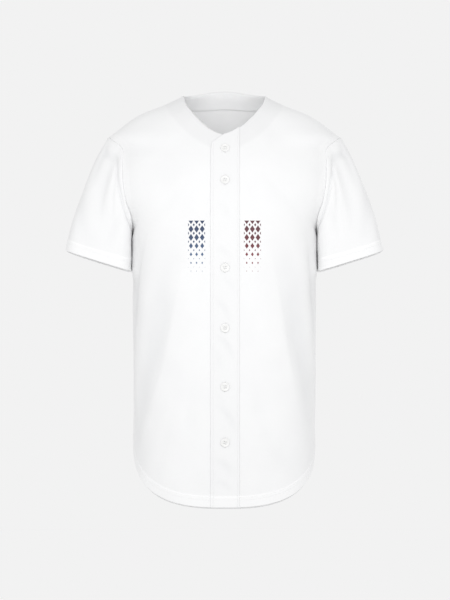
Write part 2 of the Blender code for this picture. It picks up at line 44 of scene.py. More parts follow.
# The form of the filled-out jersey, in metres, as the solids have it.
# Angles go round the body: 0 is centre front, 90 degrees the wearer's left and 180 centre back.
jersey = {
    "frontLength": 0.748,
    "backLength": 0.7688,
    "sideLength": 0.642,
    "hemSoftness": 0.13,
    "hemSquareness": 0.92,
    "backHemSquareness": 0.83,
    "backNeckRise": 0.012,
    "neckHalfWidth": 0.076,
    "shoulderTip": -0.077,
    "underarm": -0.250,
    "cloth": 0.0013,
    "seamGap": 0.0003,
    "sewnGap": 0.00012,
    "centreRow": -0.285,
    "armholeFront": 0.073,
    "armholeBack": 0.068,
    "armholeFullness": 0.75,
    "armholeEgg": 0.10,
    "vAcross": -0.0025,
    "vHeight": -0.0765,
    "hemBand": 0.020,
    "bandEdge": -0.025,
    "bandStitch": 0.027,
    "underlapEdge": 0.022,
    "sections": (  # height, half breadth, front depth, back depth, squareness
        (0.014, 0.0680, 0.0290, 0.0520, 2.20),
        (0.000, 0.0760, 0.0330, 0.0560, 2.20),
        (-0.014, 0.1005, 0.0450, 0.0640, 2.30),
        (-0.037, 0.1570, 0.0620, 0.0745, 2.40),
        (-0.059, 0.1900, 0.0755, 0.0835, 2.40),
        (-0.077, 0.2125, 0.0860, 0.0905, 2.35),
        (-0.098, 0.2090, 0.0980, 0.0980, 2.20),
        (-0.120, 0.2170, 0.1080, 0.1050, 2.20),
        (-0.164, 0.2195, 0.1220, 0.1150, 2.20),
        (-0.200, 0.2035, 0.1290, 0.1190, 2.25),
        (-0.217, 0.1870, 0.1305, 0.1200, 2.40),
        (-0.235, 0.1745, 0.1315, 0.1205, 2.60),
        (-0.250, 0.1692, 0.1315, 0.1205, 2.75),
        (-0.275, 0.1670, 0.1315, 0.1200, 2.85),
        (-0.340, 0.1670, 0.1300, 0.1175, 2.85),
        (-0.450, 0.1670, 0.1270, 0.1145, 2.80),
        (-0.560, 0.1665, 0.1250, 0.1140, 2.75),
        (-0.660, 0.1665, 0.1240, 0.1155, 2.70),
        (-0.780, 0.1665, 0.1230, 0.1180, 2.70),
    ),
    "neckline": (  # across, height
        (-0.0025, -0.0765),
        (0.0123, -0.0708),
        (0.0224, -0.0650),
        (0.0352, -0.0568),
        (0.0454, -0.0472),
        (0.0545, -0.0373),
        (0.0610, -0.0290),
        (0.0704, -0.0160),
        (0.0744, -0.0052),
        (0.0760, 0.0000),
    ),
    "corner": (  # distance past the V, drop below it
        (0.0000, 0.0000),
        (0.0072, 0.0043),
        (0.0148, 0.0108),
        (0.0212, 0.0195),
        (0.0225, 0.0275),
    ),
}
quarter = math.pi / 2


def through(table, at):  # a smooth curve through a table's rows
    rows = np.array(sorted(table))
    x, y = rows[:, 0], rows[:, 1:]
    gaps = np.diff(x)[:, None]
    slopes = np.diff(y, axis=0) / gaps
    inner = (slopes[:-1] * gaps[1:] + slopes[1:] * gaps[:-1]) / (gaps[:-1] + gaps[1:])
    tangents = np.vstack([slopes[:1], inner, slopes[-1:]])
    at = np.clip(np.asarray(at, float), x[0], x[-1])
    i = np.clip(np.searchsorted(x, at, side="right") - 1, 0, len(x) - 2)
    h = (x[i + 1] - x[i])[..., None]
    t = (at - x[i])[..., None] / h
    return (
        (1 + 2 * t) * (1 - t) ** 2 * y[i]
        + t * (1 - t) ** 2 * h * tangents[i]
        + t * t * (3 - 2 * t) * y[i + 1]
        + t * t * (t - 1) * h * tangents[i + 1]
    )


def unit(vectors):
    return vectors / np.maximum(np.linalg.norm(vectors, axis=-1, keepdims=True), 1e-12)


def alongCurve(points):  # distance walked to each point of a line
    steps = np.linalg.norm(np.diff(points, axis=0), axis=1)
    return np.concatenate([[0], np.cumsum(steps)])


def evenSteps(curve, count, low=0.0, high=1.0):
    fine = np.linspace(low, high, 400)
    length = alongCurve(curve(fine))
    return np.interp(np.linspace(0, length[-1], count + 1), length, fine)


def section(height):
    return np.moveaxis(through(jersey["sections"], height), -1, 0)


def bodyForm(angle, height):
    breadth, front, back, square = section(height)
    sine, cosine = np.sin(angle), np.cos(angle)
    depth = np.where(cosine > 0, front, back)
    reach = (np.abs(sine / breadth) ** square + np.abs(cosine / depth) ** square) ** (-1 / square)
    return np.stack([reach * sine, -reach * cosine, np.broadcast_to(height, reach.shape)], axis=-1)


def formSteps(angle, height):
    small = 1e-4
    roundIt = bodyForm(angle + small, height) - bodyForm(angle - small, height)
    up = bodyForm(angle, height + small) - bodyForm(angle, height - small)
    return roundIt / (2 * small), up / (2 * small)


def bodyNormal(angle, height):
    return unit(np.cross(*formSteps(angle, height)))


def slide(angle, height, shift):  # moves places on the form by about a shift in space
    roundIt, up = formSteps(angle, height)
    a, b, c = (roundIt * roundIt).sum(-1), (roundIt * up).sum(-1), (up * up).sum(-1)
    p, q = (roundIt * shift).sum(-1), (up * shift).sum(-1)
    whole = np.maximum(a * c - b * b, 1e-12)
    return angle + (c * p - b * q) / whole, height + (a * q - b * p) / whole


def nearestOnForm(points):
    angle = np.arctan2(points[..., 0], -points[..., 1]) % (2 * math.pi)
    height = points[..., 2]
    for _ in range(12):
        angle, height = slide(angle, height, points - bodyForm(angle, height))
    return np.stack([angle, height], axis=-1)


def angleAt(across, height):
    breadth, front, _, square = section(height)
    share = np.clip(np.abs(across) / breadth, 0, 1)
    return np.arctan2(across, front * (1 - share**square) ** (1 / square))


def hemHeight(angle):  # a shirt tail
    middle = -(jersey["frontLength"] + jersey["backLength"]) / 2
    _, front, back, _ = section(middle)
    ahead = np.cos(angle) > 0
    soft = jersey["hemSoftness"]
    share = np.abs(bodyForm(angle, middle)[..., 1]) / np.where(ahead, front, back)
    share = (np.sqrt(share**2 + soft**2) - soft) / (math.sqrt(1 + soft**2) - soft)
    tail = np.where(ahead, jersey["frontLength"], jersey["backLength"]) - jersey["sideLength"]
    square = np.where(ahead, jersey["hemSquareness"], jersey["backHemSquareness"])
    return -jersey["sideLength"] - tail * share**square


def neckHeight(across):
    return through(jersey["neckline"], across)[..., 0]


def bandTop(across):
    v = jersey["vAcross"]
    rounded = jersey["vHeight"] - through(jersey["corner"], v - across)[..., 0]
    return np.where(across >= v, neckHeight(np.maximum(across, v)), rounded)


def underlapTop(across):
    v = jersey["vAcross"]
    past = across - v
    fall = through(jersey["corner"], past)[..., 0] + np.maximum(past - jersey["corner"][-1][0], 0)
    return np.where(across <= v, neckHeight(np.maximum(v - past, v)), jersey["vHeight"] - fall)


def armhole(turn, ahead):  # turn is 0 at the shoulder tip and pi at the underarm
    tip, under = jersey["shoulderTip"], jersey["underarm"]
    height = (tip + under) / 2 + (tip - under) / 2 * np.cos(turn)
    full = np.clip(np.sin(turn), 0, 1) ** jersey["armholeFullness"]
    reach = full * (1 - jersey["armholeEgg"] * np.cos(turn))
    reach = reach * (jersey["armholeFront"] if ahead else jersey["armholeBack"])
    breadth, front, back, square = section(height)
    depth = front if ahead else back
    across = breadth * (1 - np.clip(reach / depth, 0, 1) ** square) ** (1 / square)
    angle = np.arctan2(across, reach)
    return (angle if ahead else math.pi - angle), height


armholeTurns = {
    ahead: evenSteps(lambda turn, way=ahead: bodyForm(*armhole(turn, way)), 200, 0, math.pi)
    for ahead in (True, False)
}


def armholeRows(share, ahead):
    turn = np.interp(share**1.5, np.linspace(0, 1, 201), armholeTurns[ahead])
    return armhole(turn, ahead)


def armholePlace(roundIt):  # 0 at the tip, 0.25 in front, 0.5 underarm, 0.75 behind
    roundIt = np.asarray(roundIt) % 1.0
    front = armholeRows(np.clip(roundIt * 2, 0, 1), True)
    back = armholeRows(np.clip(2 - roundIt * 2, 0, 1), False)
    ahead = roundIt <= 0.5
    return np.where(ahead, front[0], back[0]), np.where(ahead, front[1], back[1])


def seamAngle(height, ahead):
    return quarter + (-1 if ahead else 1) * jersey["seamGap"] / 2 / section(height)[0]


def turned(angle):  # from -pi to pi
    return (angle + math.pi) % (2 * math.pi) - math.pi


class SeamLine:  # a seam as points, for how far cloth lies from it
    def __init__(self, points):
        self.tree = KDTree(len(points))
        for i, point in enumerate(points):
            self.tree.insert(point, i)
        self.tree.balance()

    def away(self, points):
        flat = points.reshape(-1, 3)
        return np.array([self.tree.find(p)[2] for p in flat]).reshape(points.shape[:-1])


def bothSides(points):
    return np.vstack([points, points * np.array((-1.0, 1.0, 1.0))])


fine = np.linspace(0, 1, 900)
neckAcross = np.linspace(jersey["vAcross"], jersey["neckHalfWidth"], 600)
neckFront = bodyForm(angleAt(neckAcross, neckHeight(neckAcross)), neckHeight(neckAcross))
neckTurn = np.linspace(quarter, math.pi, 400)
neckBack = bodyForm(neckTurn, jersey["backNeckRise"] * np.cos(neckTurn) ** 2)
seams = {
    "neck": SeamLine(bothSides(np.vstack([neckFront, neckBack]))),
    "armhole": SeamLine(bothSides(bodyForm(*armholePlace(fine)))),
    "shoulder": SeamLine(bothSides(bodyForm(np.full(400, quarter), np.linspace(0, jersey["shoulderTip"], 400)))),
}
print("form ready")

# Creases, given one by one. A path is (degrees round the body, height); then depth, width and lean.
# Degrees below 0 lie on the wearer's right.
bodyCreases = {
    "wide": (
        (((45, -0.296), (51, -0.380), (57, -0.467), (67, -0.590)), 0.0054, 0.018, 0.2),
        (((64, -0.285), (71, -0.370), (80, -0.480)), 0.0040, 0.015, 0.1),
        (((112, -0.290), (109, -0.420), (104, -0.560)), 0.0050, 0.017, 0.1),
        (((138, -0.300), (130, -0.470), (126, -0.640)), 0.0040, 0.019, 0.2),
        (((163, -0.360), (161, -0.520), (158, -0.690)), 0.0030, 0.020, 0.0),
        (((-42, -0.300), (-49, -0.420), (-59, -0.512), (-71, -0.622)), 0.0058, 0.018, -0.2),
        (((-65, -0.288), (-73, -0.375), (-82, -0.490)), 0.0038, 0.015, -0.1),
        (((-113, -0.285), (-108, -0.430), (-105, -0.570)), 0.0046, 0.017, -0.1),
        (((-137, -0.310), (-131, -0.460), (-127, -0.630)), 0.0042, 0.018, -0.2),
        (((-164, -0.350), (-160, -0.530), (-159, -0.680)), 0.0028, 0.021, 0.0),
    ),
    "narrow": (
        (((37, -0.290), (44, -0.380), (50, -0.470), (57, -0.560)), 0.0017, 0.0085, 0.4),
        (((61, -0.258), (68, -0.350), (73, -0.450)), 0.0014, 0.0062, 0.4),
        (((72, -0.430), (78, -0.530), (79, -0.650)), 0.0015, 0.0070, -0.3),
        (((33, -0.150), (46, -0.200), (58, -0.238)), 0.0009, 0.0085, 0.2),
        (((30, -0.600), (41, -0.660), (52, -0.690)), 0.0008, 0.0090, 0.0),
        (((24, -0.360), (23, -0.490), (29, -0.620)), 0.0006, 0.0130, 0.0),
        (((-34, -0.300), (-41, -0.400), (-50, -0.500), (-61, -0.590)), 0.0018, 0.0088, -0.4),
        (((-58, -0.262), (-66, -0.330), (-70, -0.420)), 0.0016, 0.0060, -0.4),
        (((-74, -0.400), (-77, -0.500), (-76, -0.620)), 0.0017, 0.0070, 0.3),
        (((-30, -0.160), (-44, -0.215), (-56, -0.245)), 0.0008, 0.0090, -0.2),
        (((-36, -0.560), (-45, -0.630), (-50, -0.700)), 0.0010, 0.0100, 0.0),
        (((-20, -0.420), (-26, -0.550), (-27, -0.660)), 0.0005, 0.0120, 0.0),
        (((118, -0.170), (132, -0.230), (150, -0.270)), 0.0014, 0.0090, 0.3),
        (((106, -0.270), (100, -0.400), (101, -0.550)), 0.0019, 0.0080, 0.3),
        (((128, -0.310), (121, -0.460), (123, -0.620)), 0.0017, 0.0090, -0.3),
        (((158, -0.400), (152, -0.540), (155, -0.680)), 0.0012, 0.0110, 0.2),
        (((177, -0.040), (174, -0.110), (169, -0.190)), 0.0006, 0.0120, 0.0),
        (((172, -0.520), (177, -0.620), (171, -0.720)), 0.0009, 0.0090, 0.2),
        (((-116, -0.160), (-134, -0.220), (-147, -0.280)), 0.0012, 0.0100, -0.3),
        (((-108, -0.270), (-103, -0.370), (-98, -0.520)), 0.0017, 0.0080, -0.2),
        (((-131, -0.330), (-127, -0.500), (-120, -0.640)), 0.0019, 0.0100, 0.3),
        (((-165, -0.340), (-159, -0.500), (-162, -0.700)), 0.0013, 0.0120, -0.2),
        (((-150, -0.120), (-158, -0.200), (-170, -0.250)), 0.0007, 0.0110, 0.2),
    ),
    # Across in metres from centre front, height: the wrinkles of the button band
    "band": (
        (((-0.0185, -0.373), (-0.0040, -0.386), (0.0075, -0.4085)), 0.0016, 0.0062, 0.3),
        (((-0.0140, -0.440), (0.0010, -0.452), (0.0150, -0.4770)), 0.0017, 0.0066, -0.3),
        (((-0.0200, -0.4620), (-0.0120, -0.480), (-0.0080, -0.5060)), 0.0009, 0.0070, 0.2),
        (((-0.0110, -0.5670), (0.0050, -0.583), (0.0200, -0.6100)), 0.0017, 0.0068, 0.3),
        (((-0.0190, -0.5420), (-0.0060, -0.553), (0.0020, -0.5690)), 0.0008, 0.0060, 0.0),
        (((-0.0160, -0.2790), (-0.0010, -0.288), (0.0110, -0.3000)), 0.0011, 0.0070, 0.0),
        (((-0.0050, -0.3350), (0.0100, -0.347), (0.0190, -0.3600)), 0.0009, 0.0060, 0.2),
        (((-0.0150, -0.6630), (-0.0010, -0.672), (0.0130, -0.6900)), 0.0014, 0.0078, 0.2),
        (((-0.0180, -0.7020), (-0.0040, -0.706), (0.0150, -0.7180)), 0.0011, 0.0072, -0.2),
        (((-0.0120, -0.2000), (0.0020, -0.212), (0.0100, -0.2320)), 0.0007, 0.0080, 0.0),
    ),
    "waves": (  # size, turns a metre across, turns a metre up, start
        (0.00034, 7.0, 3.1, 0.4),
        (0.00026, -9.5, 5.2, 1.9),
        (0.00022, 13.0, 8.3, 3.3),
        (0.00016, 4.0, -17.0, 5.1),
        (0.00010, -21.0, 12.5, 2.2),
    ),
    "armOfCloth": 0.150,  # metres of cloth for each radian of angle
    "ends": 0.30,
}


def creaseHeight(across, along, path, depth, width, lean):  # below 0 in the trough, above 0 in the ridge beside it
    path = np.asarray(path, float)
    at = alongCurve(path)
    rows = [(a, *p) for a, p in zip(at, path)]
    line = through(rows, np.linspace(0, at[-1], 13))
    best = np.full(np.shape(across), 9.0)
    perp, cap, share = np.zeros(np.shape(across)), np.zeros(np.shape(across)), np.zeros(np.shape(across))
    for i, (start, run) in enumerate(zip(line[:-1], np.diff(line, axis=0))):
        length = math.hypot(*run)
        dx, dy = across - start[0], along - start[1]
        t = (dx * run[0] + dy * run[1]) / length**2
        held = np.clip(t, 0, 1)
        off = (run[0] * dy - run[1] * dx) / length
        past = np.abs(t - held) * length
        far = np.hypot(off, past)
        near = far < best
        best = np.where(near, far, best)
        perp, cap = np.where(near, off, perp), np.where(near, past, cap)
        share = np.where(near, (i + held) / 12, share)
    swell = bodyCreases["ends"] + (1 - bodyCreases["ends"]) * np.sin(math.pi * share)
    reach = width * (1 + lean * np.tanh(perp / width))
    side = 1.0 if lean >= 0 else -1.0
    ridge = 0.28 * np.exp(-(((perp * side - 2.0 * width) / (1.2 * width)) ** 2))
    return depth * swell * (ridge - np.exp(-((perp / reach) ** 2))) * np.exp(-((cap / width) ** 2))


def step(value, low, high):  # 0 below low, 1 above high
    t = np.clip((value - low) / (high - low), 0, 1)
    return t * t * (3 - 2 * t)


def hemPaintedLight(far, band):  # painted light: the turned cloth is painted paler, and a painted highlight runs along its sewn line
    return 0.36 * (1 - step(far, band - 0.0005, band + 0.0015)) + 0.64 * np.exp(-(((far - band + 0.0008) / 0.0016) ** 2))


buttonHeights = (-0.1025, -0.160, -0.3173, -0.4255, -0.531, -0.6312)
buttonAcross = 0.001


def bodyRelief(angle, height):  # how far the cloth's outer face stands off the form
    angle, height = np.broadcast_arrays(np.asarray(angle, float), np.asarray(height, float))
    base = bodyForm(angle, height)
    turn = turned(angle)
    arm = bodyCreases["armOfCloth"]
    total = np.zeros(turn.shape)
    for path, depth, width, lean in bodyCreases["wide"] + bodyCreases["narrow"]:
        start = math.radians(path[0][0])
        points = [((math.radians(a) - start) * arm, h) for a, h in path]
        total = total + creaseHeight(turned(turn - start) * arm, height, points, depth, width, lean)
    for size, across, up, start in bodyCreases["waves"]:
        total = total + size * np.sin(2 * math.pi * (turn * across / (2 * math.pi) + height * up) + start)
    fromSide = np.abs(np.abs(turn) - quarter)
    seamLevel = jersey["underarm"] + 0.0094 * (fromSide / math.radians(15)) ** 2
    under = step(height, -0.345, -0.318) * (1 - step(height - seamLevel, -0.022, -0.005))
    total = total + 0.0014 * under * np.exp(-((fromSide / math.radians(24)) ** 4))
    total = total + 0.0026 * under * np.exp(-(((fromSide - math.radians(15)) / math.radians(7)) ** 2))
    ahead = np.cos(turn) > 0
    middle = np.where(ahead, np.exp(-((base[..., 0] / 0.045) ** 4)), 0.0)
    calm = total * (1 - middle)
    for path, depth, width, lean in bodyCreases["band"]:
        calm = calm + middle * creaseHeight(base[..., 0], height, path, depth, width, lean)
    for level in buttonHeights:  # flat under the buttons
        near = np.exp(-(((base[..., 0] - buttonAcross) ** 2 + (height - level) ** 2) / 0.0105**2) ** 2)
        calm = np.where(ahead, calm * (1 - near), calm)
    return calm


def seamRelief(angle, height):  # the sewing: turned edges, pressed seams and stitched lines
    base = bodyForm(angle, height)
    neck, arm, shoulder = (seams[name].away(base) for name in ("neck", "armhole", "shoulder"))
    side = np.abs(np.abs(turned(angle)) - quarter) * np.hypot(base[..., 0], base[..., 1])
    side = np.where(height < jersey["underarm"] + 0.004, side, 1.0)
    hem = height - hemHeight(angle)
    turn = turned(angle)
    total = -0.0007 * np.exp(-((side / 0.0016) ** 2)) + 0.0003 * np.exp(-(((side - 0.0045) / 0.0022) ** 2))
    total += -0.0007 * np.exp(-((shoulder / 0.0016) ** 2)) + 0.0003 * np.exp(-(((shoulder - 0.004) / 0.002) ** 2))
    total += 0.00045 * (step(arm, 0.0002, 0.0030) - step(arm, 0.0062, 0.0078))
    total += -0.0017 * (arm / 0.0075) * np.exp(1 - arm / 0.0075) * step(height, -0.262, -0.236)
    total += -0.00045 * np.exp(-(((arm - 0.0072) / 0.0011) ** 2))
    total += 0.00035 * (1 - step(neck, 0.0345, 0.0375))  # the facing shows through
    total += -0.00025 * np.exp(-(((neck - 0.0055) / 0.0009) ** 2))
    puckers = np.sin(turn * 95 + 2.0 * np.sin(turn * 13)) * 0.00012
    total += puckers * np.exp(-(((hem - 0.021) / 0.006) ** 2))
    total += np.sin(height * 520 + turn * 9) * 0.00010 * np.exp(-((side / 0.009) ** 2))
    total += np.sin((height * 430 + turn * 31)) * 0.00016 * np.exp(-(((arm - 0.006) / 0.006) ** 2))
    total += 0.0006 * (1 - step(hem, jersey["hemBand"] - 0.0004, jersey["hemBand"] + 0.0014))
    total += 0.0004 * np.exp(-(((hem - 0.0204) / 0.0010) ** 2))
    total += -0.00022 * np.exp(-(((hem - 0.0180) / 0.0010) ** 2)) - 0.00022 * np.exp(-(((hem - 0.0130) / 0.0010) ** 2))
    return total


def clothPoint(angle, height, lift=0.0):  # the finished outer face
    out = bodyRelief(angle, height) + seamRelief(angle, height) + lift
    return bodyForm(angle, height) + bodyNormal(angle, height) * np.asarray(out)[..., None]


def coons(bottom, top, left, right, u, v):
    edges = bottom, top, left, right
    bottom, top, left, right = (bodyForm(edge[:, 0], edge[:, 1]) for edge in edges)
    a, b = u[None, :, None], v[:, None, None]
    ruled = (1 - b) * bottom[None] + b * top[None] + (1 - a) * left[:, None] + a * right[:, None]
    corners = (
        (1 - a) * (1 - b) * bottom[0] + a * (1 - b) * bottom[-1]
        + (1 - a) * b * top[0] + a * b * top[-1]
    )
    places = nearestOnForm(ruled - corners)
    places[0], places[-1], places[:, 0], places[:, -1] = edges
    return places


panelGrid = {
    "neckColumns": 30,
    "shoulderColumns": 46,
    "sideRows": 112,
    "armRows": 66,
    "edge": (0.0006, 0.0014, 0.0026),  # extra rows beside a free edge, in metres
    "hemRows": (0, 0.0004, 0.0010, 0.0022, 0.0050, 0.0080, 0.0108, 0.0122, 0.0130, 0.0138, 0.0155, 0.0172,
                0.0180, 0.0188, 0.0197, 0.0206, 0.0216, 0.0232, 0.0255),
}


def rowShares():  # shares of the way up from the underarm row, closer beside the top edge
    count = panelGrid["armRows"]
    shares = np.linspace(0, 1, count + 1)[:-1]
    extra = [1 - far / 0.2 for far in reversed(panelGrid["edge"])]
    return np.concatenate([shares[shares < extra[0] - 0.004], extra, [1.0]])


def columnShares():
    count = panelGrid["neckColumns"] + panelGrid["shoulderColumns"]
    shares = np.linspace(0, 1, count + 1)[:-1]
    extra = [1 - far / 0.2 for far in reversed(panelGrid["edge"])]
    return np.concatenate([shares[shares < extra[0] - 0.004], extra, [1.0]])


def levelsBelow(hem, top):
    rows = np.array(panelGrid["hemRows"])
    return np.concatenate([hem + rows, np.linspace(hem + rows[-1], top, panelGrid["sideRows"] + 1)[1:-1]])


def frontColumn(across, top):
    hem = float(hemHeight(angleAt(across, -jersey["frontLength"])))
    above = jersey["centreRow"] + (top - jersey["centreRow"]) * rowShares()
    heights = np.concatenate([levelsBelow(hem, jersey["centreRow"]), above])
    return np.stack([angleAt(across, heights), heights], axis=-1)


def halfPanel(centreAngle, centreLine, neckLine, ahead):
    u, v = columnShares(), rowShares()
    corner = panelGrid["neckColumns"] / (panelGrid["neckColumns"] + panelGrid["shoulderColumns"])
    right = np.stack(armholeRows(1 - v, ahead), axis=-1)
    right[[0, -1], 0] = seamAngle(right[[0, -1], 1], ahead)
    levels = evenSteps(lambda z: bodyForm(np.full(len(z), quarter), z), 120, 0.0, jersey["shoulderTip"])
    shoulder = np.stack([seamAngle(levels, ahead), levels], axis=-1)
    pick = np.clip((u - corner) / (1 - corner), 0, 1)
    onShoulder = np.stack([np.interp(pick, np.linspace(0, 1, 121), shoulder[:, i]) for i in (0, 1)], axis=-1)
    top = np.where((u <= corner + 1e-9)[:, None], neckLine(np.clip(u / corner, 0, 1)), onShoulder)
    left = centreLine(v)
    rise = jersey["underarm"] + (jersey["centreRow"] - jersey["underarm"]) * (1 - u**3)
    bottom = np.stack([left[0, 0] + (right[0, 0] - left[0, 0]) * u, rise], axis=-1)
    below = []
    for part, height in zip(u, bottom[:, 1]):
        hem = float(hemHeight(centreAngle(-jersey["frontLength"]) * (1 - part) + right[0, 0] * part))
        levels = levelsBelow(hem, height)
        middle = centreAngle(levels)
        below.append(np.stack([middle + (seamAngle(levels, ahead) - middle) * part, levels], axis=-1))
    return np.concatenate([np.stack(below, axis=1), coons(bottom, top, left, right, u, v)])


# The sleeves, in shares of the way round and of the way down
sleeve = {
    "cuffOuter": (0.2910, -0.2848),
    "cuffInner": (0.1700, -0.3225),
    "outerSquareness": 4.0,
    "innerSquareness": 4.6,
    "cuffBelly": 0.0026,
    "cuffMiddleDepth": -0.006,
    "cuffHalfDepth": 0.061,
    "cuffBackDrop": 0.0034,
    "hemBand": 0.024,
    "mitreLimit": 0.45,
    "clearOfBody": 0.0006,
    "lines": (
        (0.000, 0.106, 0.000, -0.156, 0.040, 0.000, -0.196),
        (0.125, 0.100, 0.022, -0.112, 0.032, -0.008, -0.160),
        (0.250, 0.082, 0.030, -0.082, 0.022, -0.012, -0.125),
        (0.375, -0.004, 0.016, -0.050, 0.002, -0.004, -0.085),
        (0.440, 0.001, 0.006, -0.022, 0.000, -0.002, -0.072),
        (0.500, 0.003, 0.000, -0.008, 0.000, 0.000, -0.068),
    ),
    "columns": 150,
    "rows": 46,
    "round": 0.400,
    "down": 0.190,
    # A path is (share round, share down), then depth, width and lean
    "creases": {
        1: (
            (((0.185, 0.16), (0.192, 0.40), (0.215, 0.66)), 0.0016, 0.010, 0.2),
            (((0.058, 0.04), (0.072, 0.18), (0.078, 0.36)), 0.0016, 0.0060, 0.2),
            (((0.118, 0.03), (0.132, 0.20), (0.142, 0.44)), 0.0020, 0.0070, -0.2),
            (((0.800, 0.12), (0.790, 0.45), (0.770, 0.75)), 0.0034, 0.013, 0.1),
            (((0.100, 0.50), (0.140, 0.68), (0.180, 0.84)), 0.0020, 0.012, 0.0),
            (((0.235, 0.07), (0.262, 0.30), (0.300, 0.50)), 0.0016, 0.006, 0.3),
            (((0.330, 0.30), (0.300, 0.52), (0.290, 0.76)), 0.0012, 0.007, -0.3),
            (((0.040, 0.20), (0.060, 0.42), (0.065, 0.60)), 0.0009, 0.010, 0.2),
            (((0.900, 0.30), (0.880, 0.52), (0.900, 0.80)), 0.0014, 0.009, -0.2),
            (((0.700, 0.20), (0.690, 0.45), (0.720, 0.70)), 0.0012, 0.008, 0.3),
        ),
        -1: (
            (((0.183, 0.15), (0.196, 0.38), (0.222, 0.62)), 0.0017, 0.010, 0.2),
            (((0.052, 0.04), (0.064, 0.20), (0.075, 0.40)), 0.0018, 0.0062, 0.2),
            (((0.112, 0.03), (0.128, 0.22), (0.135, 0.41)), 0.0018, 0.0068, -0.2),
            (((0.805, 0.12), (0.785, 0.43), (0.775, 0.78)), 0.0032, 0.013, 0.1),
            (((0.105, 0.53), (0.145, 0.70), (0.190, 0.86)), 0.0021, 0.012, 0.0),
            (((0.240, 0.06), (0.270, 0.28), (0.305, 0.55)), 0.0014, 0.006, 0.3),
            (((0.335, 0.34), (0.312, 0.55), (0.282, 0.80)), 0.0013, 0.007, -0.3),
            (((0.030, 0.24), (0.045, 0.44), (0.080, 0.62)), 0.0010, 0.010, 0.2),
            (((0.910, 0.26), (0.895, 0.50), (0.885, 0.74)), 0.0012, 0.009, -0.2),
            (((0.690, 0.16), (0.700, 0.40), (0.712, 0.66)), 0.0014, 0.008, 0.3),
        ),
    },
}


def cuffPoint(roundIt):
    turn = 2 * math.pi * np.asarray(roundIt)
    out, ahead = np.cos(turn)[..., None], np.sin(turn)[..., None]
    power = np.where(out > 0, sleeve["outerSquareness"], sleeve["innerSquareness"])
    square = (np.abs(out) ** power + np.abs(ahead) ** power) ** (-1 / power)
    out, ahead = out * square, ahead * square
    outer = np.array((sleeve["cuffOuter"][0], sleeve["cuffMiddleDepth"], sleeve["cuffOuter"][1]))
    inner = np.array((sleeve["cuffInner"][0], sleeve["cuffMiddleDepth"], sleeve["cuffInner"][1]))
    forward = np.array((0.0, -sleeve["cuffHalfDepth"], sleeve["cuffBackDrop"] / 2))
    belly = np.array((0.0, 0.0, -sleeve["cuffBelly"]))
    return (outer + inner) / 2 + out * (outer - inner) / 2 + ahead * forward + ahead**2 * belly


def sleeveLine(roundIt):
    roundIt = np.asarray(roundIt) % 1.0
    behind = roundIt > 0.5
    line = through(sleeve["lines"], np.where(behind, 1 - roundIt, roundIt))
    signs = np.ones(behind.shape + (3,))
    signs[..., 1] = np.where(behind, 1.0, -1.0)
    return line[..., :3] * signs, line[..., 3:] * signs


def plainFolds(angle, height):  # the solids' own folds, where the sleeve starts
    total = np.zeros(np.shape(angle))
    for start, top, end, bottom, depth, width in (
        (48, -0.285, 74, -0.600, 0.0050, 0.016),
        (66, -0.270, 84, -0.470, 0.0035, 0.014),
        (112, -0.290, 104, -0.560, 0.0050, 0.017),
    ):
        a, b = np.array((math.radians(start) * 0.15, top)), np.array((math.radians(end) * 0.15, bottom))
        run = b - a
        dx, dy = angle * 0.15 - a[0], height - a[1]
        held = np.clip((dx * run[0] + dy * run[1]) / (run @ run), 0, 1)
        off = np.hypot(dx - held * run[0], dy - held * run[1])
        total = total + depth * np.exp(-((off / width) ** 2)) * (0.35 + 0.65 * np.sin(math.pi * held))
    return total


def sleeveForm(roundIt, down):
    roundIt, down = np.broadcast_arrays(np.asarray(roundIt, float), np.asarray(down, float))
    places = armholePlace(roundIt)
    start = bodyForm(*places) - bodyNormal(*places) * plainFolds(*places)[..., None]
    end = cuffPoint(roundIt)
    leave, arrive = sleeveLine(roundIt)
    t = down[..., None]
    return (
        (1 + 2 * t) * (1 - t) ** 2 * start + t * (1 - t) ** 2 * leave
        + t * t * (3 - 2 * t) * end + t * t * (t - 1) * arrive
    )


def sleeveNormal(roundIt, down):
    low, high = np.maximum(down - 2e-3, 0), np.minimum(down + 2e-3, 1)
    along = sleeveForm(roundIt, high) - sleeveForm(roundIt, low)
    around = sleeveForm(roundIt + 2e-3, down) - sleeveForm(roundIt - 2e-3, down)
    return unit(np.cross(around, along))


lineRound = np.linspace(0, 1, 241)
lineDown = np.linspace(0, 1, 120)
lineLengths = np.linalg.norm(np.diff(sleeveForm(lineRound[None, :], lineDown[:, None]), axis=0), axis=2).sum(0)


def sleeveLength(roundIt):
    return np.interp(np.asarray(roundIt) % 1.0, lineRound, lineLengths)


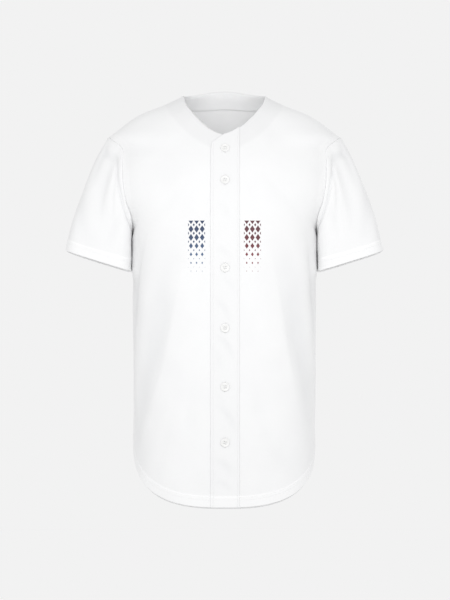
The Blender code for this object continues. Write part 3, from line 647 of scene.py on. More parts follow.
def sleeveRelief(roundIt, down, side):
    total = np.zeros(np.shape(roundIt))
    for path, depth, width, lean in sleeve["creases"][side]:
        points = [((a - path[0][0]) * sleeve["round"], d * sleeve["down"]) for a, d in path]
        across = ((roundIt - path[0][0] + 0.5) % 1.0 - 0.5) * sleeve["round"]
        total = total + creaseHeight(across, down * sleeve["down"], points, depth, width, lean)
    turn = 2 * math.pi * roundIt
    total = total + 0.00030 * np.sin(3 * turn + 9 * down + side) + 0.00020 * np.sin(5 * turn - 14 * down + 2 * side)
    fromSeam = down * sleeveLength(roundIt)
    fromCuff = (1 - down) * sleeveLength(roundIt)
    total = total * step(fromSeam, 0.0, 0.012)
    front = np.minimum(roundIt % 1.0, 1 - roundIt % 1.0)  # the same way round on both faces
    beside = step(front, 0.07, 0.15) * (1 - step(front, 0.38, 0.45))
    away = 0.0370 - 0.030 * front + 0.0012 * np.sin(9 * turn + side)
    total = total - 0.0036 * beside * np.exp(-(((fromSeam - away) / 0.0080) ** 2))  # the crease beside the seam
    head = 0.0012 * (fromSeam / 0.0052) * np.exp(1 - fromSeam / 0.0052)  # the roll beside the seam
    total = total + head * (1 + 0.22 * np.sin(41 * turn + 2 * np.sin(7 * turn)))
    underSeam = (roundIt - 0.5) * sleeve["round"]
    total = total - 0.0006 * np.exp(-((underSeam / 0.0016) ** 2)) * step(fromSeam, 0.0, 0.004)
    band = sleeve["hemBand"]
    total = total + 0.0005 * (1 - step(fromCuff, band - 0.0004, band + 0.0014))
    total = total - 0.00022 * np.exp(-(((fromCuff - band + 0.0020) / 0.0010) ** 2))
    total = total - 0.00022 * np.exp(-(((fromCuff - band + 0.0070) / 0.0010) ** 2))
    total = total + 0.00012 * np.sin(46 * turn) * np.exp(-(((fromCuff - band) / 0.006) ** 2))
    return total


def sleevePoint(roundIt, down, side, lift=0.0):  # on the wearer's left for side 1, not yet mirrored
    out = sleeveRelief(roundIt, down, side) + lift
    return sleeveForm(roundIt, down) + sleeveNormal(roundIt, down) * np.asarray(out)[..., None]


def seamMitre(roundIt):
    body = bodyNormal(*armholePlace(roundIt))
    shared = unit(body + sleeveNormal(roundIt, np.zeros(np.shape(roundIt))))
    along = unit(sleeveForm(roundIt + 2e-3, 0.0) - sleeveForm(roundIt - 2e-3, 0.0))
    outward = unit(np.cross(along, shared))
    outward = outward * np.sign(np.sum(outward * sleeveLine(roundIt)[0], axis=-1, keepdims=True))
    stretch = 1 / np.maximum(np.sum(shared * body, axis=-1, keepdims=True), sleeve["mitreLimit"])
    return shared, stretch, outward


def gridFaces(rows, columns, offset, closed):
    r, c = np.meshgrid(np.arange(rows - 1), np.arange(columns if closed else columns - 1), indexing="ij")
    n = (c + 1) % columns
    faces = np.stack([r * columns + c, r * columns + n, (r + 1) * columns + n, (r + 1) * columns + c], axis=-1)
    return faces.reshape(-1, 4) + offset


def clothShell(name, outer, inner, flatPlaces, materials, tube=False, turnedHem=None, faced=None, folds=None):
    # A closed thin shell between two grids of points. flatPlaces are the cloth's own metres, for the knit.
    rows, columns = outer.shape[:2]
    count = rows * columns
    points = np.concatenate([outer.reshape(-1, 3), inner.reshape(-1, 3)])
    out = gridFaces(rows, columns, 0, tube)
    faces = [out, gridFaces(rows, columns, count, tube)[:, ::-1]]
    for r, flip in ((0, False), (rows - 1, True)):
        c = np.arange(columns if tube else columns - 1)
        n = (c + 1) % columns
        rim = np.stack([r * columns + c, r * columns + c + count, r * columns + n + count, r * columns + n], axis=-1)
        faces.append(rim[:, ::-1] if flip else rim)
    if not tube:
        for c, flip in ((0, True), (columns - 1, False)):
            r = np.arange(rows - 1) * columns + c
            rim = np.stack([r, r + count, r + columns + count, r + columns], axis=-1)
            faces.append(rim[:, ::-1] if flip else rim)
    inside = np.concatenate([np.full(len(part), i == 1) for i, part in enumerate(faces)])
    faces = np.concatenate(faces)
    mesh = bpy.data.meshes.new(name)
    mesh.from_pydata(points.tolist(), [], faces.tolist())
    model = bmesh.new()
    model.from_mesh(mesh)
    if model.calc_volume(signed=True) < 0:
        bmesh.ops.reverse_faces(model, faces=model.faces[:])
    model.to_mesh(mesh)
    model.free()
    corners = np.zeros(len(mesh.loops), np.int32)
    mesh.loops.foreach_get("vertex_index", corners)
    places = np.concatenate([flatPlaces.reshape(-1, 2)] * 2)
    layer = mesh.uv_layers.new(name="cloth")
    layer.data.foreach_set("uv", places[corners].astype(np.float32).ravel())
    # masks of painted light and shade for the knit: the hem's painted highlight, painted shade over the facing and in
    # creases
    for word, values in (("turnedHem", turnedHem), ("faced", faced), ("folds", folds)):
        values = np.zeros((rows, columns)) if values is None else values
        mask = mesh.attributes.new(word, "FLOAT", "POINT")
        mask.data.foreach_set("value", np.concatenate([values.ravel()] * 2).astype(np.float32))
    for material in materials:
        mesh.materials.append(material)
    if len(materials) > 1:
        mesh.polygons.foreach_set("material_index", inside.astype(np.int32))
    mesh.shade_smooth()
    piece = bpy.data.objects.new(name, mesh)
    scene.collection.objects.link(piece)
    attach(piece, "root")
    return piece


class Wire:  # a socket in a material, so that sums read as sums
    def __init__(self, tree, socket=None):
        self.tree, self.socket = tree, socket

    def add(self, kind, settings=None, inputs=None, out=0):
        made = self.tree.nodes.new(kind)
        for name, value in (settings or {}).items():
            if name == "stops":
                ramp = made.color_ramp.elements
                while len(ramp) < len(value):
                    ramp.new(1.0)
                for stop, (at, colour) in zip(ramp, value):
                    stop.position, stop.color = at, colour
            else:
                setattr(made, name, value)
        for name, value in (inputs or {}).items():
            if isinstance(value, Wire):
                self.tree.links.new(value.socket, made.inputs[name])
            else:
                made.inputs[name].default_value = value
        return Wire(self.tree, made.outputs[out])

    def maths(self, operation, *values):
        return self.add("ShaderNodeMath", {"operation": operation}, dict(enumerate(values)))

    def __add__(self, other):
        return self.maths("ADD", self, other)

    __radd__ = __add__

    def __sub__(self, other):
        return self.maths("SUBTRACT", self, other)

    def __rsub__(self, other):
        return self.maths("SUBTRACT", other, self)

    def __mul__(self, other):
        return self.maths("MULTIPLY", self, other)

    __rmul__ = __mul__

    def __truediv__(self, other):
        return self.maths("DIVIDE", self, other)

    def __abs__(self):
        return self.maths("ABSOLUTE", self)

    def __lt__(self, other):
        return self.maths("LESS_THAN", self, other)

    def __gt__(self, other):
        return self.maths("GREATER_THAN", self, other)

    def sine(self):
        return self.maths("SINE", self)

    def folded(self):  # 0 to 0.5 and back, once for each whole number
        return self.maths("PINGPONG", self, 0.5)

    def between(self, low, high):  # 0 below low, 1 above high
        return self.add(
            "ShaderNodeMapRange",
            {"interpolation_type": "SMOOTHSTEP"},
            {"Value": self, "From Min": low, "From Max": high},
        )

    def blend(self, first, second):  # two colours, mixed by this
        return self.add("ShaderNodeMix", {"data_type": "RGBA"}, {0: self, 6: first, 7: second}, out=2)


def newMaterial(name, roughness, sheen=0.0, coat=0.0):
    material = bpy.data.materials.new(name)
    material.use_nodes = True
    shader = material.node_tree.nodes["Principled BSDF"]
    shader.inputs["Roughness"].default_value = roughness
    shader.inputs["Sheen Weight"].default_value = sheen
    shader.inputs["Sheen Roughness"].default_value = 0.5
    shader.inputs["Coat Weight"].default_value = coat
    shader.inputs["Specular IOR Level"].default_value = 0.35
    return material, Wire(material.node_tree), shader


knit = {
    "white": (0.862, 0.864, 0.868, 1),
    "shade": (0.850, 0.852, 0.857, 1),
    # painted shade: the button band is painted darker than the white knit, for its double layer
    "band": (0.842, 0.844, 0.849, 1),
    # painted light: the turned hem and cuff bands are painted paler than the knit
    "turnedHem": (0.935, 0.936, 0.939, 1),
    # painted shade: the cloth over the neck facing is painted darker
    "faced": (0.826, 0.828, 0.833, 1),
    # painted light: the inside is painted paler than the outside, for light that white cloth lets through
    "inside": (0.880, 0.881, 0.884, 1),
    # painted shade: the colour that troughs of creases are painted
    "creaseShadeColour": (0.812, 0.816, 0.823, 1),
    "rib": 0.00125,  # across two ribs, in metres
    "course": 0.00095,
    "roughness": 0.78,
    "bump": 0.16,
}
motif = {  # a small lattice of lozenges beside the button band
    "middle": (0.0500, -0.2785),
    "half": (0.0152, 0.0455),
    "pitch": (0.0101, 0.0152),
    "rightBlue": (0.018, 0.040, 0.105, 1),
    "rightPale": (0.075, 0.150, 0.290, 1),
    "leftRed": (0.230, 0.016, 0.030, 1),
    "leftDark": (0.095, 0.018, 0.028, 1),
}


def knitMaterial(name, colour, shade, side=0, bump=None):
    material, wire, shader = newMaterial(name, knit["roughness"], sheen=0.12)
    uv = wire.add("ShaderNodeUVMap", {"uv_map": "cloth"})
    across, along = (wire.add("ShaderNodeSeparateXYZ", None, {0: uv}, out=i) for i in (0, 1))
    space = wire.add("ShaderNodeTexCoord", out=3)
    cloudy = wire.add("ShaderNodeTexNoise", None, {"Vector": space, "Scale": 16.0, "Detail": 3.0})
    fibre = wire.add("ShaderNodeTexNoise", None, {"Vector": space, "Scale": 900.0, "Detail": 2.0})
    turnedHem = wire.add("ShaderNodeAttribute", {"attribute_name": "turnedHem"}, out=2)
    faced = wire.add("ShaderNodeAttribute", {"attribute_name": "faced"}, out=2)
    folds = wire.add("ShaderNodeAttribute", {"attribute_name": "folds"}, out=2)
    tint = cloudy.between(0.35, 0.70).blend(colour, shade)
    # painted light: the hem band painted paler, with a painted highlight along its sewn line
    tint = turnedHem.blend(tint, knit["turnedHem"])
    # painted shade on the cloth over the neck facing
    tint = faced.blend(tint, knit["faced"])
    # painted shade in the troughs of creases
    tint = folds.blend(tint, knit["creaseShadeColour"])
    if side:
        x, z = (wire.add("ShaderNodeSeparateXYZ", None, {0: space}, out=i) for i in (0, 2))
        u, v = x - side * motif["middle"][0], z - motif["middle"][1]
        half, pitch = motif["half"], motif["pitch"]
        fade = (v / half[1]).between(-1.05, 0.55)  # small lozenges low down, large ones above
        lozenge = (u / pitch[0]).folded() + (v / pitch[1]).folded()
        inner = (((u / pitch[0]) + 0.5).folded() + ((v / pitch[1]) + 0.5).folded())
        mask = (lozenge < fade * 0.34 + 0.10) + (inner < fade * 0.16 + 0.035)
        mask = mask.maths("MINIMUM", mask, 1.0) * (abs(u) < half[0]) * (abs(v) < half[1])
        dark, pale = ("leftDark", "leftRed") if side > 0 else ("rightBlue", "rightPale")
        ink = (v / half[1] + 0.7 * cloudy).between(-0.6, 1.1).blend(motif[pale], motif[dark])
        tint = (mask * (0.90 + 0.10 * fibre)).blend(tint, ink)
    rough = 0.70 + 0.14 * cloudy
    ribs = (across * (2 * math.pi / knit["rib"])).sine()
    courses = (along * (2 * math.pi / knit["course"]) + ribs * 0.9).sine()
    loops = ribs * 0.55 + courses * 0.35 + fibre * 0.7
    raised = wire.add("ShaderNodeBump", None, {
        "Strength": bump or knit["bump"], "Distance": 0.00025, "Height": loops,
    })
    for socket, value in (("Base Color", tint), ("Roughness", rough), ("Normal", raised)):
        wire.tree.links.new(value.socket, shader.inputs[socket])
    return material


def plasticMaterial():
    material, wire, shader = newMaterial("buttonPlastic", 0.30, coat=0.35)
    space = wire.add("ShaderNodeTexCoord", out=3)
    swirl = wire.add("ShaderNodeTexNoise", None, {"Vector": space, "Scale": 260.0, "Detail": 4.0, "Distortion": 1.6})
    fineNoise = wire.add("ShaderNodeTexNoise", None, {"Vector": space, "Scale": 1500.0, "Detail": 2.0})
    tint = swirl.between(0.35, 0.68).blend((0.80, 0.80, 0.79, 1), (0.87, 0.87, 0.865, 1))
    raised = wire.add("ShaderNodeBump", None, {"Strength": 0.10, "Distance": 0.0001, "Height": fineNoise})
    for socket, value in (("Base Color", tint), ("Roughness", 0.24 + 0.16 * swirl), ("Normal", raised)):
        wire.tree.links.new(value.socket, shader.inputs[socket])
    return material


def threadMaterial():
    material, wire, shader = newMaterial("sewingThread", 0.55, sheen=0.10)
    space = wire.add("ShaderNodeTexCoord", out=3)
    twist = wire.add("ShaderNodeTexWave", {"bands_direction": "DIAGONAL"}, {"Vector": space, "Scale": 900.0}, out=1)
    lint = wire.add("ShaderNodeTexNoise", None, {"Vector": space, "Scale": 700.0, "Detail": 2.0})
    tint = lint.between(0.3, 0.7).blend((0.84, 0.84, 0.845, 1), (0.90, 0.90, 0.905, 1))
    raised = wire.add("ShaderNodeBump", None, {"Strength": 0.25, "Distance": 0.0001, "Height": twist + 0.4 * lint})
    for socket, value in (("Base Color", tint), ("Roughness", 0.46 + 0.2 * lint), ("Normal", raised)):
        wire.tree.links.new(value.socket, shader.inputs[socket])
    return material


materials = {
    "right": knitMaterial("jerseyKnitRightFront", knit["white"], knit["shade"], side=-1),
    "left": knitMaterial("jerseyKnitLeftFront", knit["white"], knit["shade"], side=1),
    "knit": knitMaterial("jerseyKnit", knit["white"], knit["shade"]),
    # the inside and the neck facing take the painted-paler inside colour
    "inside": knitMaterial("jerseyKnitInside", knit["inside"], knit["shade"], bump=0.24),
    "band": knitMaterial("buttonBandKnit", knit["band"], knit["shade"]),
    "facing": knitMaterial("neckFacingKnit", knit["inside"], knit["shade"]),
    "plastic": plasticMaterial(),
    "thread": threadMaterial(),
}
print("materials ready")


def edgePinch(rows, columns, top=True, bottom=True):  # how far a free edge is pinched thin, 0 to 1
    pinch = np.zeros((rows, columns))
    if bottom:
        pinch[0], pinch[1] = 0.85, 0.35
    if top:
        pinch[-1], pinch[-2] = 0.85, 0.30
    return pinch


def panelShell(name, places, ahead, armColumns, material, freeTop):
    angle, height = places[..., 0], places[..., 1]
    base, normal = bodyForm(angle, height), bodyNormal(angle, height)
    relief = bodyRelief(angle, height)
    sewn = seamRelief(angle, height)
    thick = jersey["cloth"]
    pinch = edgePinch(*angle.shape, top=False)
    for column in range(angle.shape[1]):
        if freeTop[column]:
            pinch[-1, column], pinch[-2, column] = 0.8, 0.25
    outer = base + normal * (relief + sewn - pinch * thick / 2)[..., None]
    inner = base + normal * (relief - thick + pinch * thick / 2)[..., None]
    v = rowShares()
    rows = slice(-len(v), None)
    shared, stretch, outward = seamMitre((1 - v) / 2 if ahead else (1 + v) / 2)
    for column, side in armColumns:
        mirror = np.array((side, 1.0, 1.0))
        spot = base[rows, column] - normal[rows, column] * plainFolds(np.abs(turned(angle[rows, column])), height[rows, column])[:, None]
        outer[rows, column] = spot - outward * mirror * jersey["sewnGap"] / 2
        inner[rows, column] = outer[rows, column] - shared * stretch * mirror * thick
    flat = np.stack([turned(angle) * 0.165, height], axis=-1)
    if not ahead:
        flat[..., 0] = (angle % (2 * math.pi)) * 0.165
    neck = seams["neck"].away(base)
    hem = height - hemHeight(angle)
    hemLightMask = hemPaintedLight(hem, jersey["hemBand"])
    # painted shade over the neck facing, near the neck seam
    facingShadeMask = 1 - step(neck, 0.0330, 0.0385)
    # painted shade, deeper where the cloth sinks into a crease
    folds = np.clip(-relief / 0.0045, 0, 1)
    finishes = [material, materials["inside"]]
    return clothShell(name, outer, inner, flat, finishes, turnedHem=hemLightMask, faced=facingShadeMask, folds=folds)


def frontNeckLine(edge, shift):
    across = evenSteps(lambda x: bodyForm(angleAt(x, neckHeight(x)), neckHeight(x)), 120, edge - shift, jersey["neckHalfWidth"])
    levels = neckHeight(across)
    moved = across + shift * np.linspace(1, 0, 121)
    places = np.stack([angleAt(moved, levels), levels], axis=-1)
    places[-1] = (float(seamAngle(0.0, True)), 0.0)
    grid = np.linspace(0, 1, 121)
    return (lambda share: np.stack([np.interp(share, grid, places[:, i]) for i in (0, 1)], axis=-1)), levels[0]


def makeFront(name, side, edge, strip, material):
    shift = 0.0 if side > 0 else -2 * jersey["vAcross"]
    neckLine, top = frontNeckLine(edge, shift)
    above = lambda v: jersey["centreRow"] + (top - jersey["centreRow"]) * v
    centre = lambda v: np.stack([angleAt(edge, above(v)), above(v)], axis=-1)
    half = halfPanel(lambda z: angleAt(edge, z), centre, neckLine, True)
    half[..., 0] *= side
    topOf = bandTop if side > 0 else underlapTop
    columns = [frontColumn(x, float(topOf(x))) for x in strip]
    places = np.concatenate([np.stack(columns, axis=1), half], axis=1)
    neckCount = len(strip) + panelGrid["neckColumns"] + 1
    freeTop = [c < neckCount for c in range(places.shape[1])]
    piece = panelShell(name, places, True, [(places.shape[1] - 1, side)], material, freeTop)
    return piece


def makeBack():
    neckGrid = np.linspace(0, 1, 121)
    turn = np.linspace(math.pi, quarter, 121)
    neck = np.stack([turn, jersey["backNeckRise"] * np.cos(turn) ** 2], axis=-1)
    neck[-1] = (float(seamAngle(0.0, False)), 0.0)
    neckLine = lambda share: np.stack([np.interp(share, neckGrid, neck[:, i]) for i in (0, 1)], axis=-1)

    def centre(v):
        rise = jersey["backNeckRise"] + (jersey["centreRow"] - jersey["backNeckRise"]) * (1 - v) ** 1.5
        return np.stack([np.full(len(v), math.pi), rise], axis=-1)

    half = halfPanel(lambda z: np.full(np.shape(z), math.pi), centre, neckLine, False)
    other = half[:, :0:-1].copy()
    other[..., 0] = 2 * math.pi - other[..., 0]
    places = np.concatenate([other, half], axis=1)
    middle = other.shape[1]
    freeTop = [abs(c - middle) <= panelGrid["neckColumns"] for c in range(places.shape[1])]
    return panelShell("backPanel", places, False, [(0, -1), (places.shape[1] - 1, 1)], materials["knit"], freeTop)


def heldOff(points, side, room):  # the way that sleeve points go to stay clear of the body's cloth
    places = nearestOnForm(points)
    angle, height = places[..., 0], places[..., 1]
    normal = bodyNormal(angle, height)
    out = np.sum((points - bodyForm(angle, height)) * normal, axis=-1)
    short = room - out + bodyRelief(angle * side, height) + np.maximum(seamRelief(angle, height), 0)
    return short, normal


def makeSleeve(name, side):
    count = sleeve["columns"]
    roundIt = np.arange(count) / count
    lengths = sleeveLength(roundIt)
    band = sleeve["hemBand"]
    first = np.array((0, 0.0010, 0.0022, 0.0036, 0.0052, 0.0072, 0.0098))
    last = np.array((band + 0.0036, band + 0.0018, band + 0.0008, band, band - 0.0010, band - 0.0020, band - 0.0030,
                     band - 0.0050, band - 0.0062, band - 0.0070, band - 0.0078, band - 0.0100, 0.0110, 0.0075,
                     0.0045, 0.0022, 0.0010, 0.0004, 0.0))
    rows = []
    for far in first:
        rows.append(far / lengths)
    for share in np.linspace(0, 1, sleeve["rows"] + 1)[1:-1]:
        rows.append((first[-1] * (1 - share) + (lengths - last[0]) * share) / lengths)
    for far in last:
        rows.append(1 - far / lengths)
    down = np.stack(rows)
    around = np.broadcast_to(roundIt, down.shape)
    normals = sleeveNormal(around, down)
    base = sleeveForm(around, down)
    relief = sleeveRelief(around, down, side)
    pinch = np.zeros(down.shape)
    pinch[-1], pinch[-2] = 0.85, 0.35
    thick = jersey["cloth"]
    outer = base + normals * (relief - pinch * thick / 2)[..., None]
    inner = base + normals * (relief - thick + pinch * thick / 2)[..., None]
    short, normal = heldOff(outer, side, sleeve["clearOfBody"])
    fromSeam = down * lengths
    moved = np.clip(short, 0, 0.006) * step(fromSeam, 0.0, 0.003) * (np.abs(around - 0.5) < 0.2)
    outer, inner = outer + normal * moved[..., None], inner + normal * moved[..., None]
    shared, stretch, outward = seamMitre(roundIt)
    outer[0] = base[0] + outward * jersey["sewnGap"] / 2
    inner[0] = outer[0] - shared * stretch * thick
    mirror = np.array((side, 1.0, 1.0))
    flat = np.stack([around * sleeve["round"], -down * sleeve["down"]], axis=-1)
    hemLightMask = hemPaintedLight((1 - down) * lengths, band)
    finishes = [materials["knit"], materials["inside"]]
    # painted shade in the sleeve's crease troughs
    folds = np.clip(-relief / 0.0035, 0, 1)
    return clothShell(name, outer * mirror, inner * mirror, flat, finishes, True, turnedHem=hemLightMask, folds=folds)


def steps(low, high, size):
    return list(np.linspace(low, high, max(2, int(round(abs(high - low) / size)) + 1)))


frontLeft = makeFront("frontPanelLeft", 1, jersey["bandStitch"], steps(jersey["underlapEdge"] + jersey["seamGap"], jersey["bandStitch"], 0.0016)[:-1], materials["left"])
frontRight = makeFront("frontPanelRight", -1, -jersey["bandEdge"], steps(jersey["underlapEdge"], jersey["bandEdge"], 0.0026)[:-1], materials["right"])
backPanel = makeBack()
print("body panels made")
sleeveLeft = makeSleeve("sleeveTubeLeft", 1)
sleeveRight = makeSleeve("sleeveTubeRight", -1)
print("sleeves made")

# The folded band of the wearer's left front
band = {
    "thickness": 0.0018,
    "columns": (-0.0250, -0.0248, -0.0243, -0.0236, -0.0226, -0.0216, -0.0208, -0.0203, -0.0198, -0.0190, -0.0176,
                -0.0156, -0.0136, -0.0116, -0.0096, -0.0076, -0.0056, -0.0040, -0.0025, -0.0005, 0.0015, 0.0035,
                0.0055, 0.0075, 0.0095, 0.0115, 0.0135, 0.0155, 0.0175, 0.0195, 0.0212, 0.0224, 0.0232, 0.0238,
                0.0246, 0.0254, 0.0260, 0.0265, 0.0268, 0.0270),
    "round": 0.0014,  # how far in from its edges the band is rounded
    "stitched": (-0.0203, 0.0235),
}


def bandLift(across, height):  # the band's own thickness over the fronts, with rounded edges and sewn lines
    fromEdge = np.minimum(across - jersey["bandEdge"], jersey["bandStitch"] - across)
    fromTop = bandTop(across) - height
    near = np.minimum(fromEdge, np.where(across < jersey["vAcross"] + 0.002, fromTop * 0.8, 1.0))
    share = np.clip(near / band["round"], 0, 1)
    lift = band["thickness"] * (0.30 + 0.70 * np.sqrt(np.clip(1 - (1 - share) ** 2, 0, 1)))
    for line in band["stitched"]:
        lift = lift - 0.00055 * np.exp(-(((across - line) / 0.0011) ** 2)) * step(fromTop, 0.001, 0.004)
    puff = 0.00022 * np.exp(-(((across - 0.0015) / 0.016) ** 4))
    return lift + puff


def makeBand():
    columns = np.array(band["columns"])
    places = np.stack([frontColumn(x, float(bandTop(x))) for x in columns], axis=1)
    angle, height = places[..., 0], places[..., 1]
    normal = bodyNormal(angle, height)
    base = bodyForm(angle, height)
    relief = bodyRelief(angle, height) + np.maximum(seamRelief(angle, height), 0)
    gap = jersey["seamGap"]
    lift = bandLift(np.broadcast_to(columns, angle.shape), height)
    pinch = np.zeros(angle.shape)
    pinch[0], pinch[1], pinch[-1], pinch[-2] = 0.7, 0.25, 0.6, 0.2
    outer = base + normal * (relief + gap + lift - pinch * lift * 0.5)[..., None]
    inner = base + normal * (relief + gap + pinch * lift * 0.25)[..., None]
    flat = np.stack([np.broadcast_to(columns, angle.shape), height], axis=-1)
    hemLightMask = hemPaintedLight(height - hemHeight(angle), jersey["hemBand"])
    # painted shade in the band's wrinkle troughs and along its two stitched lines
    folds = np.clip(-bodyRelief(angle, height) / 0.0016, 0, 1)
    for line, tone, width in ((band["stitched"][0], 0.60, 0.0009), (band["stitched"][1], 0.35, 0.0013)):
        folds = folds + tone * np.exp(-(((columns - line) / width) ** 2))
    return clothShell("buttonBandCloth", outer, inner, flat, [materials["band"]], turnedHem=hemLightMask, folds=folds)


buttonBand = makeBand()

# The facing inside the neck edge
facing = {
    "width": 0.036,
    "gap": 0.00035,
    "thickness": 0.0008,
    "end": 0.031,
    "backShare": 0.42,
    "steps": 190,
    "ribs": 13,
    "walk": 3,
}


def neckLoop(share):  # 0 beside the band on the wearer's left, 1 beside it on the right
    share = np.asarray(share, float)
    side = np.abs(share * 2 - 1)
    back = facing["backShare"]
    turn = math.pi - quarter * np.clip(side / back, 0, 1)
    along = np.clip((side - back) / (1 - back), 0, 1)
    across = jersey["neckHalfWidth"] + (facing["end"] - jersey["neckHalfWidth"]) * along
    level = neckHeight(across)
    ahead = side > back
    angle = np.where(ahead, angleAt(across, level), turn)
    height = np.where(ahead, level, jersey["backNeckRise"] * np.cos(turn) ** 2)
    return np.where(share < 0.5, angle, 2 * math.pi - angle), height


def makeFacing():
    angle, height = neckLoop(evenSteps(lambda share: bodyForm(*neckLoop(share)), facing["steps"]))
    along = unit(np.gradient(bodyForm(angle, height), axis=0))
    count = facing["ribs"] * facing["walk"]
    rows = [np.stack([angle, height], axis=-1)]
    for _ in range(count):
        away = unit(np.cross(along, bodyNormal(angle, height)))
        away = away * np.where(away[..., 2:] > 0, -1, 1)
        angle, height = slide(angle, height, away * facing["width"] / count)
        rows.append(np.stack([angle, height], axis=-1))
    places = np.stack(rows[:: facing["walk"]])
    angle, height = places[..., 0], places[..., 1]
    relief = bodyRelief(angle, height)
    toEdge = np.linspace(0, 1, len(places))[:, None]
    deep = jersey["cloth"] + facing["gap"] * (1 - 0.85 * toEdge**6)
    pinch = np.zeros(angle.shape)
    pinch[0], pinch[-2], pinch[-1] = 0.8, 0.5, 1.3
    thick = facing["thickness"]
    outer = bodyForm(angle, height) + bodyNormal(angle, height) * (relief - deep - pinch * thick / 3)[..., None]
    inner = bodyForm(angle, height) + bodyNormal(angle, height) * (relief - deep - thick + pinch * thick / 3)[..., None]
    length = alongCurve(bodyForm(angle[0], height[0]))
    ribs = np.linspace(0, facing["width"], len(places))
    flat = np.stack([np.broadcast_to(length, angle.shape), np.broadcast_to(ribs[:, None], angle.shape)], axis=-1)
    return clothShell("neckFacingCloth", outer, inner, flat, [materials["facing"]]), places


neckFacing, facingPlaces = makeFacing()
print("button band and neck facing made")


# Sewing thread: rows of short stitches lying in the cloth
stitch = {
    "length": 0.0026,
    "gap": 0.0009,
    "radius": 0.00028,
    "sink": 0.00006,
}


def stitchRun(name, runs):
    # runs are lines of points with the cloth's own normals at them
    along = np.array((-0.5, -0.40, -0.15, 0.15, 0.40, 0.5)) * stitch["length"]
    thick = np.array((0.0, 0.75, 1.0, 1.0, 0.75, 0.0)) * stitch["radius"]
    arch = np.array((-1.0, -0.35, 0.25, 0.25, -0.35, -1.0)) * stitch["radius"]
    turns = np.linspace(0, 2 * math.pi, 7)[:-1]
    points, faces, total = [], [], 0
    template = []
    for ring in range(5):
        for i in range(6):
            n = (i + 1) % 6
            template.append((ring * 6 + i, ring * 6 + n, ring * 6 + 6 + n, ring * 6 + 6 + i))
    template = np.array(template)
    for line, normals in runs:
        length = alongCurve(line)
        count = int(length[-1] // (stitch["length"] + stitch["gap"]))
        if count < 2:
            continue
        middles = (np.arange(count) + 0.5) * length[-1] / count
        place = np.stack([np.interp(middles, length, line[:, i]) for i in range(3)], axis=-1)
        ahead = np.stack([np.interp(middles + 0.0004, length, line[:, i]) for i in range(3)], axis=-1)
        behind = np.stack([np.interp(middles - 0.0004, length, line[:, i]) for i in range(3)], axis=-1)
        up = unit(np.stack([np.interp(middles, length, normals[:, i]) for i in range(3)], axis=-1))
        way = unit(ahead - behind)
        beside = unit(np.cross(up, way))
        up = unit(np.cross(way, beside))
        ring = (
            place[:, None, None] + way[:, None, None] * along[None, :, None, None]
            + up[:, None, None] * (arch + stitch["radius"] * 0.55 - stitch["sink"])[None, :, None, None]
            + thick[None, :, None, None] * (
                beside[:, None, None] * np.cos(turns)[None, None, :, None]
                + up[:, None, None] * np.sin(turns)[None, None, :, None]
            )
        )
        points.append(ring.reshape(-1, 3))
        for k in range(count):
            faces.append(template + total + k * 36)
        total += count * 36
    mesh = bpy.data.meshes.new(name)
    mesh.from_pydata(np.concatenate(points).tolist(), [], np.concatenate(faces).tolist())
    model = bmesh.new()
    model.from_mesh(mesh)
    bmesh.ops.remove_doubles(model, verts=model.verts[:], dist=1e-7)
    bmesh.ops.recalc_face_normals(model, faces=model.faces[:])
    model.to_mesh(mesh)
    model.free()
    mesh.materials.append(materials["thread"])
    mesh.shade_smooth()
    piece = bpy.data.objects.new(name, mesh)
    scene.collection.objects.link(piece)
    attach(piece, "root")
    return piece


def bodyRun(angle, height, lift=0.0):
    angle, height = np.broadcast_arrays(np.asarray(angle, float), np.asarray(height, float))
    return clothPoint(angle, height, lift), bodyNormal(angle, height)


def hemRun(rise):
    around = np.linspace(0.001, 2 * math.pi - 0.001, 1400)
    across = bodyForm(around, hemHeight(around))[:, 0]
    clear = ~((np.cos(around) > 0) & (across > jersey["bandEdge"] - 0.001) & (across < jersey["bandStitch"] + 0.001))
    around = around[clear]
    return bodyRun(around, hemHeight(around) + rise)


def bandRun(across, low=0.0015, high=0.004):
    bottom = float(hemHeight(angleAt(across, -jersey["frontLength"]))) + low
    top = float(bandTop(np.array(across))) - high
    heights = np.linspace(bottom, top, 500)
    angle = angleAt(across, heights)
    lift = bandLift(np.full(500, across), heights) + jersey["seamGap"]
    relief = bodyRelief(angle, heights) + np.maximum(seamRelief(angle, heights), 0)
    normal = bodyNormal(angle, heights)
    return bodyForm(angle, heights) + normal * (relief + lift)[:, None], normal


def armholeRun(side, far):
    roundIt = np.linspace(0.004, 0.996, 500)
    places = armholePlace(roundIt)
    angle, height = places[0], places[1]
    _, _, outward = seamMitre(roundIt)
    angle, height = slide(angle, height, -outward * far)
    angle = angle * side
    return bodyRun(angle, height)


def sleeveRun(side, far):
    roundIt = np.linspace(0, 1, 500)
    down = 1 - far / sleeveLength(roundIt)
    mirror = np.array((side, 1.0, 1.0))
    return sleevePoint(roundIt, down, side) * mirror, sleeveNormal(roundIt, down) * mirror


def neckRun(side):  # just inside the neck edge of the fronts and the back
    start = jersey["bandStitch"] if side > 0 else -jersey["bandEdge"]
    across = np.linspace(start + 0.001, jersey["neckHalfWidth"], 200)
    level = neckHeight(across)
    turn = np.linspace(quarter, math.pi, 160)[1:]
    angle = np.concatenate([angleAt(across, level), turn])
    height = np.concatenate([level, jersey["backNeckRise"] * np.cos(turn) ** 2])
    along = unit(np.gradient(bodyForm(angle, height), axis=0))
    for _ in range(3):
        away = unit(np.cross(along, bodyNormal(angle, height)))
        away = away * np.where(away[..., 2:] > 0, -1, 1)
        angle, height = slide(angle, height, away * 0.0055 / 3)
    return bodyRun(angle * side, height)


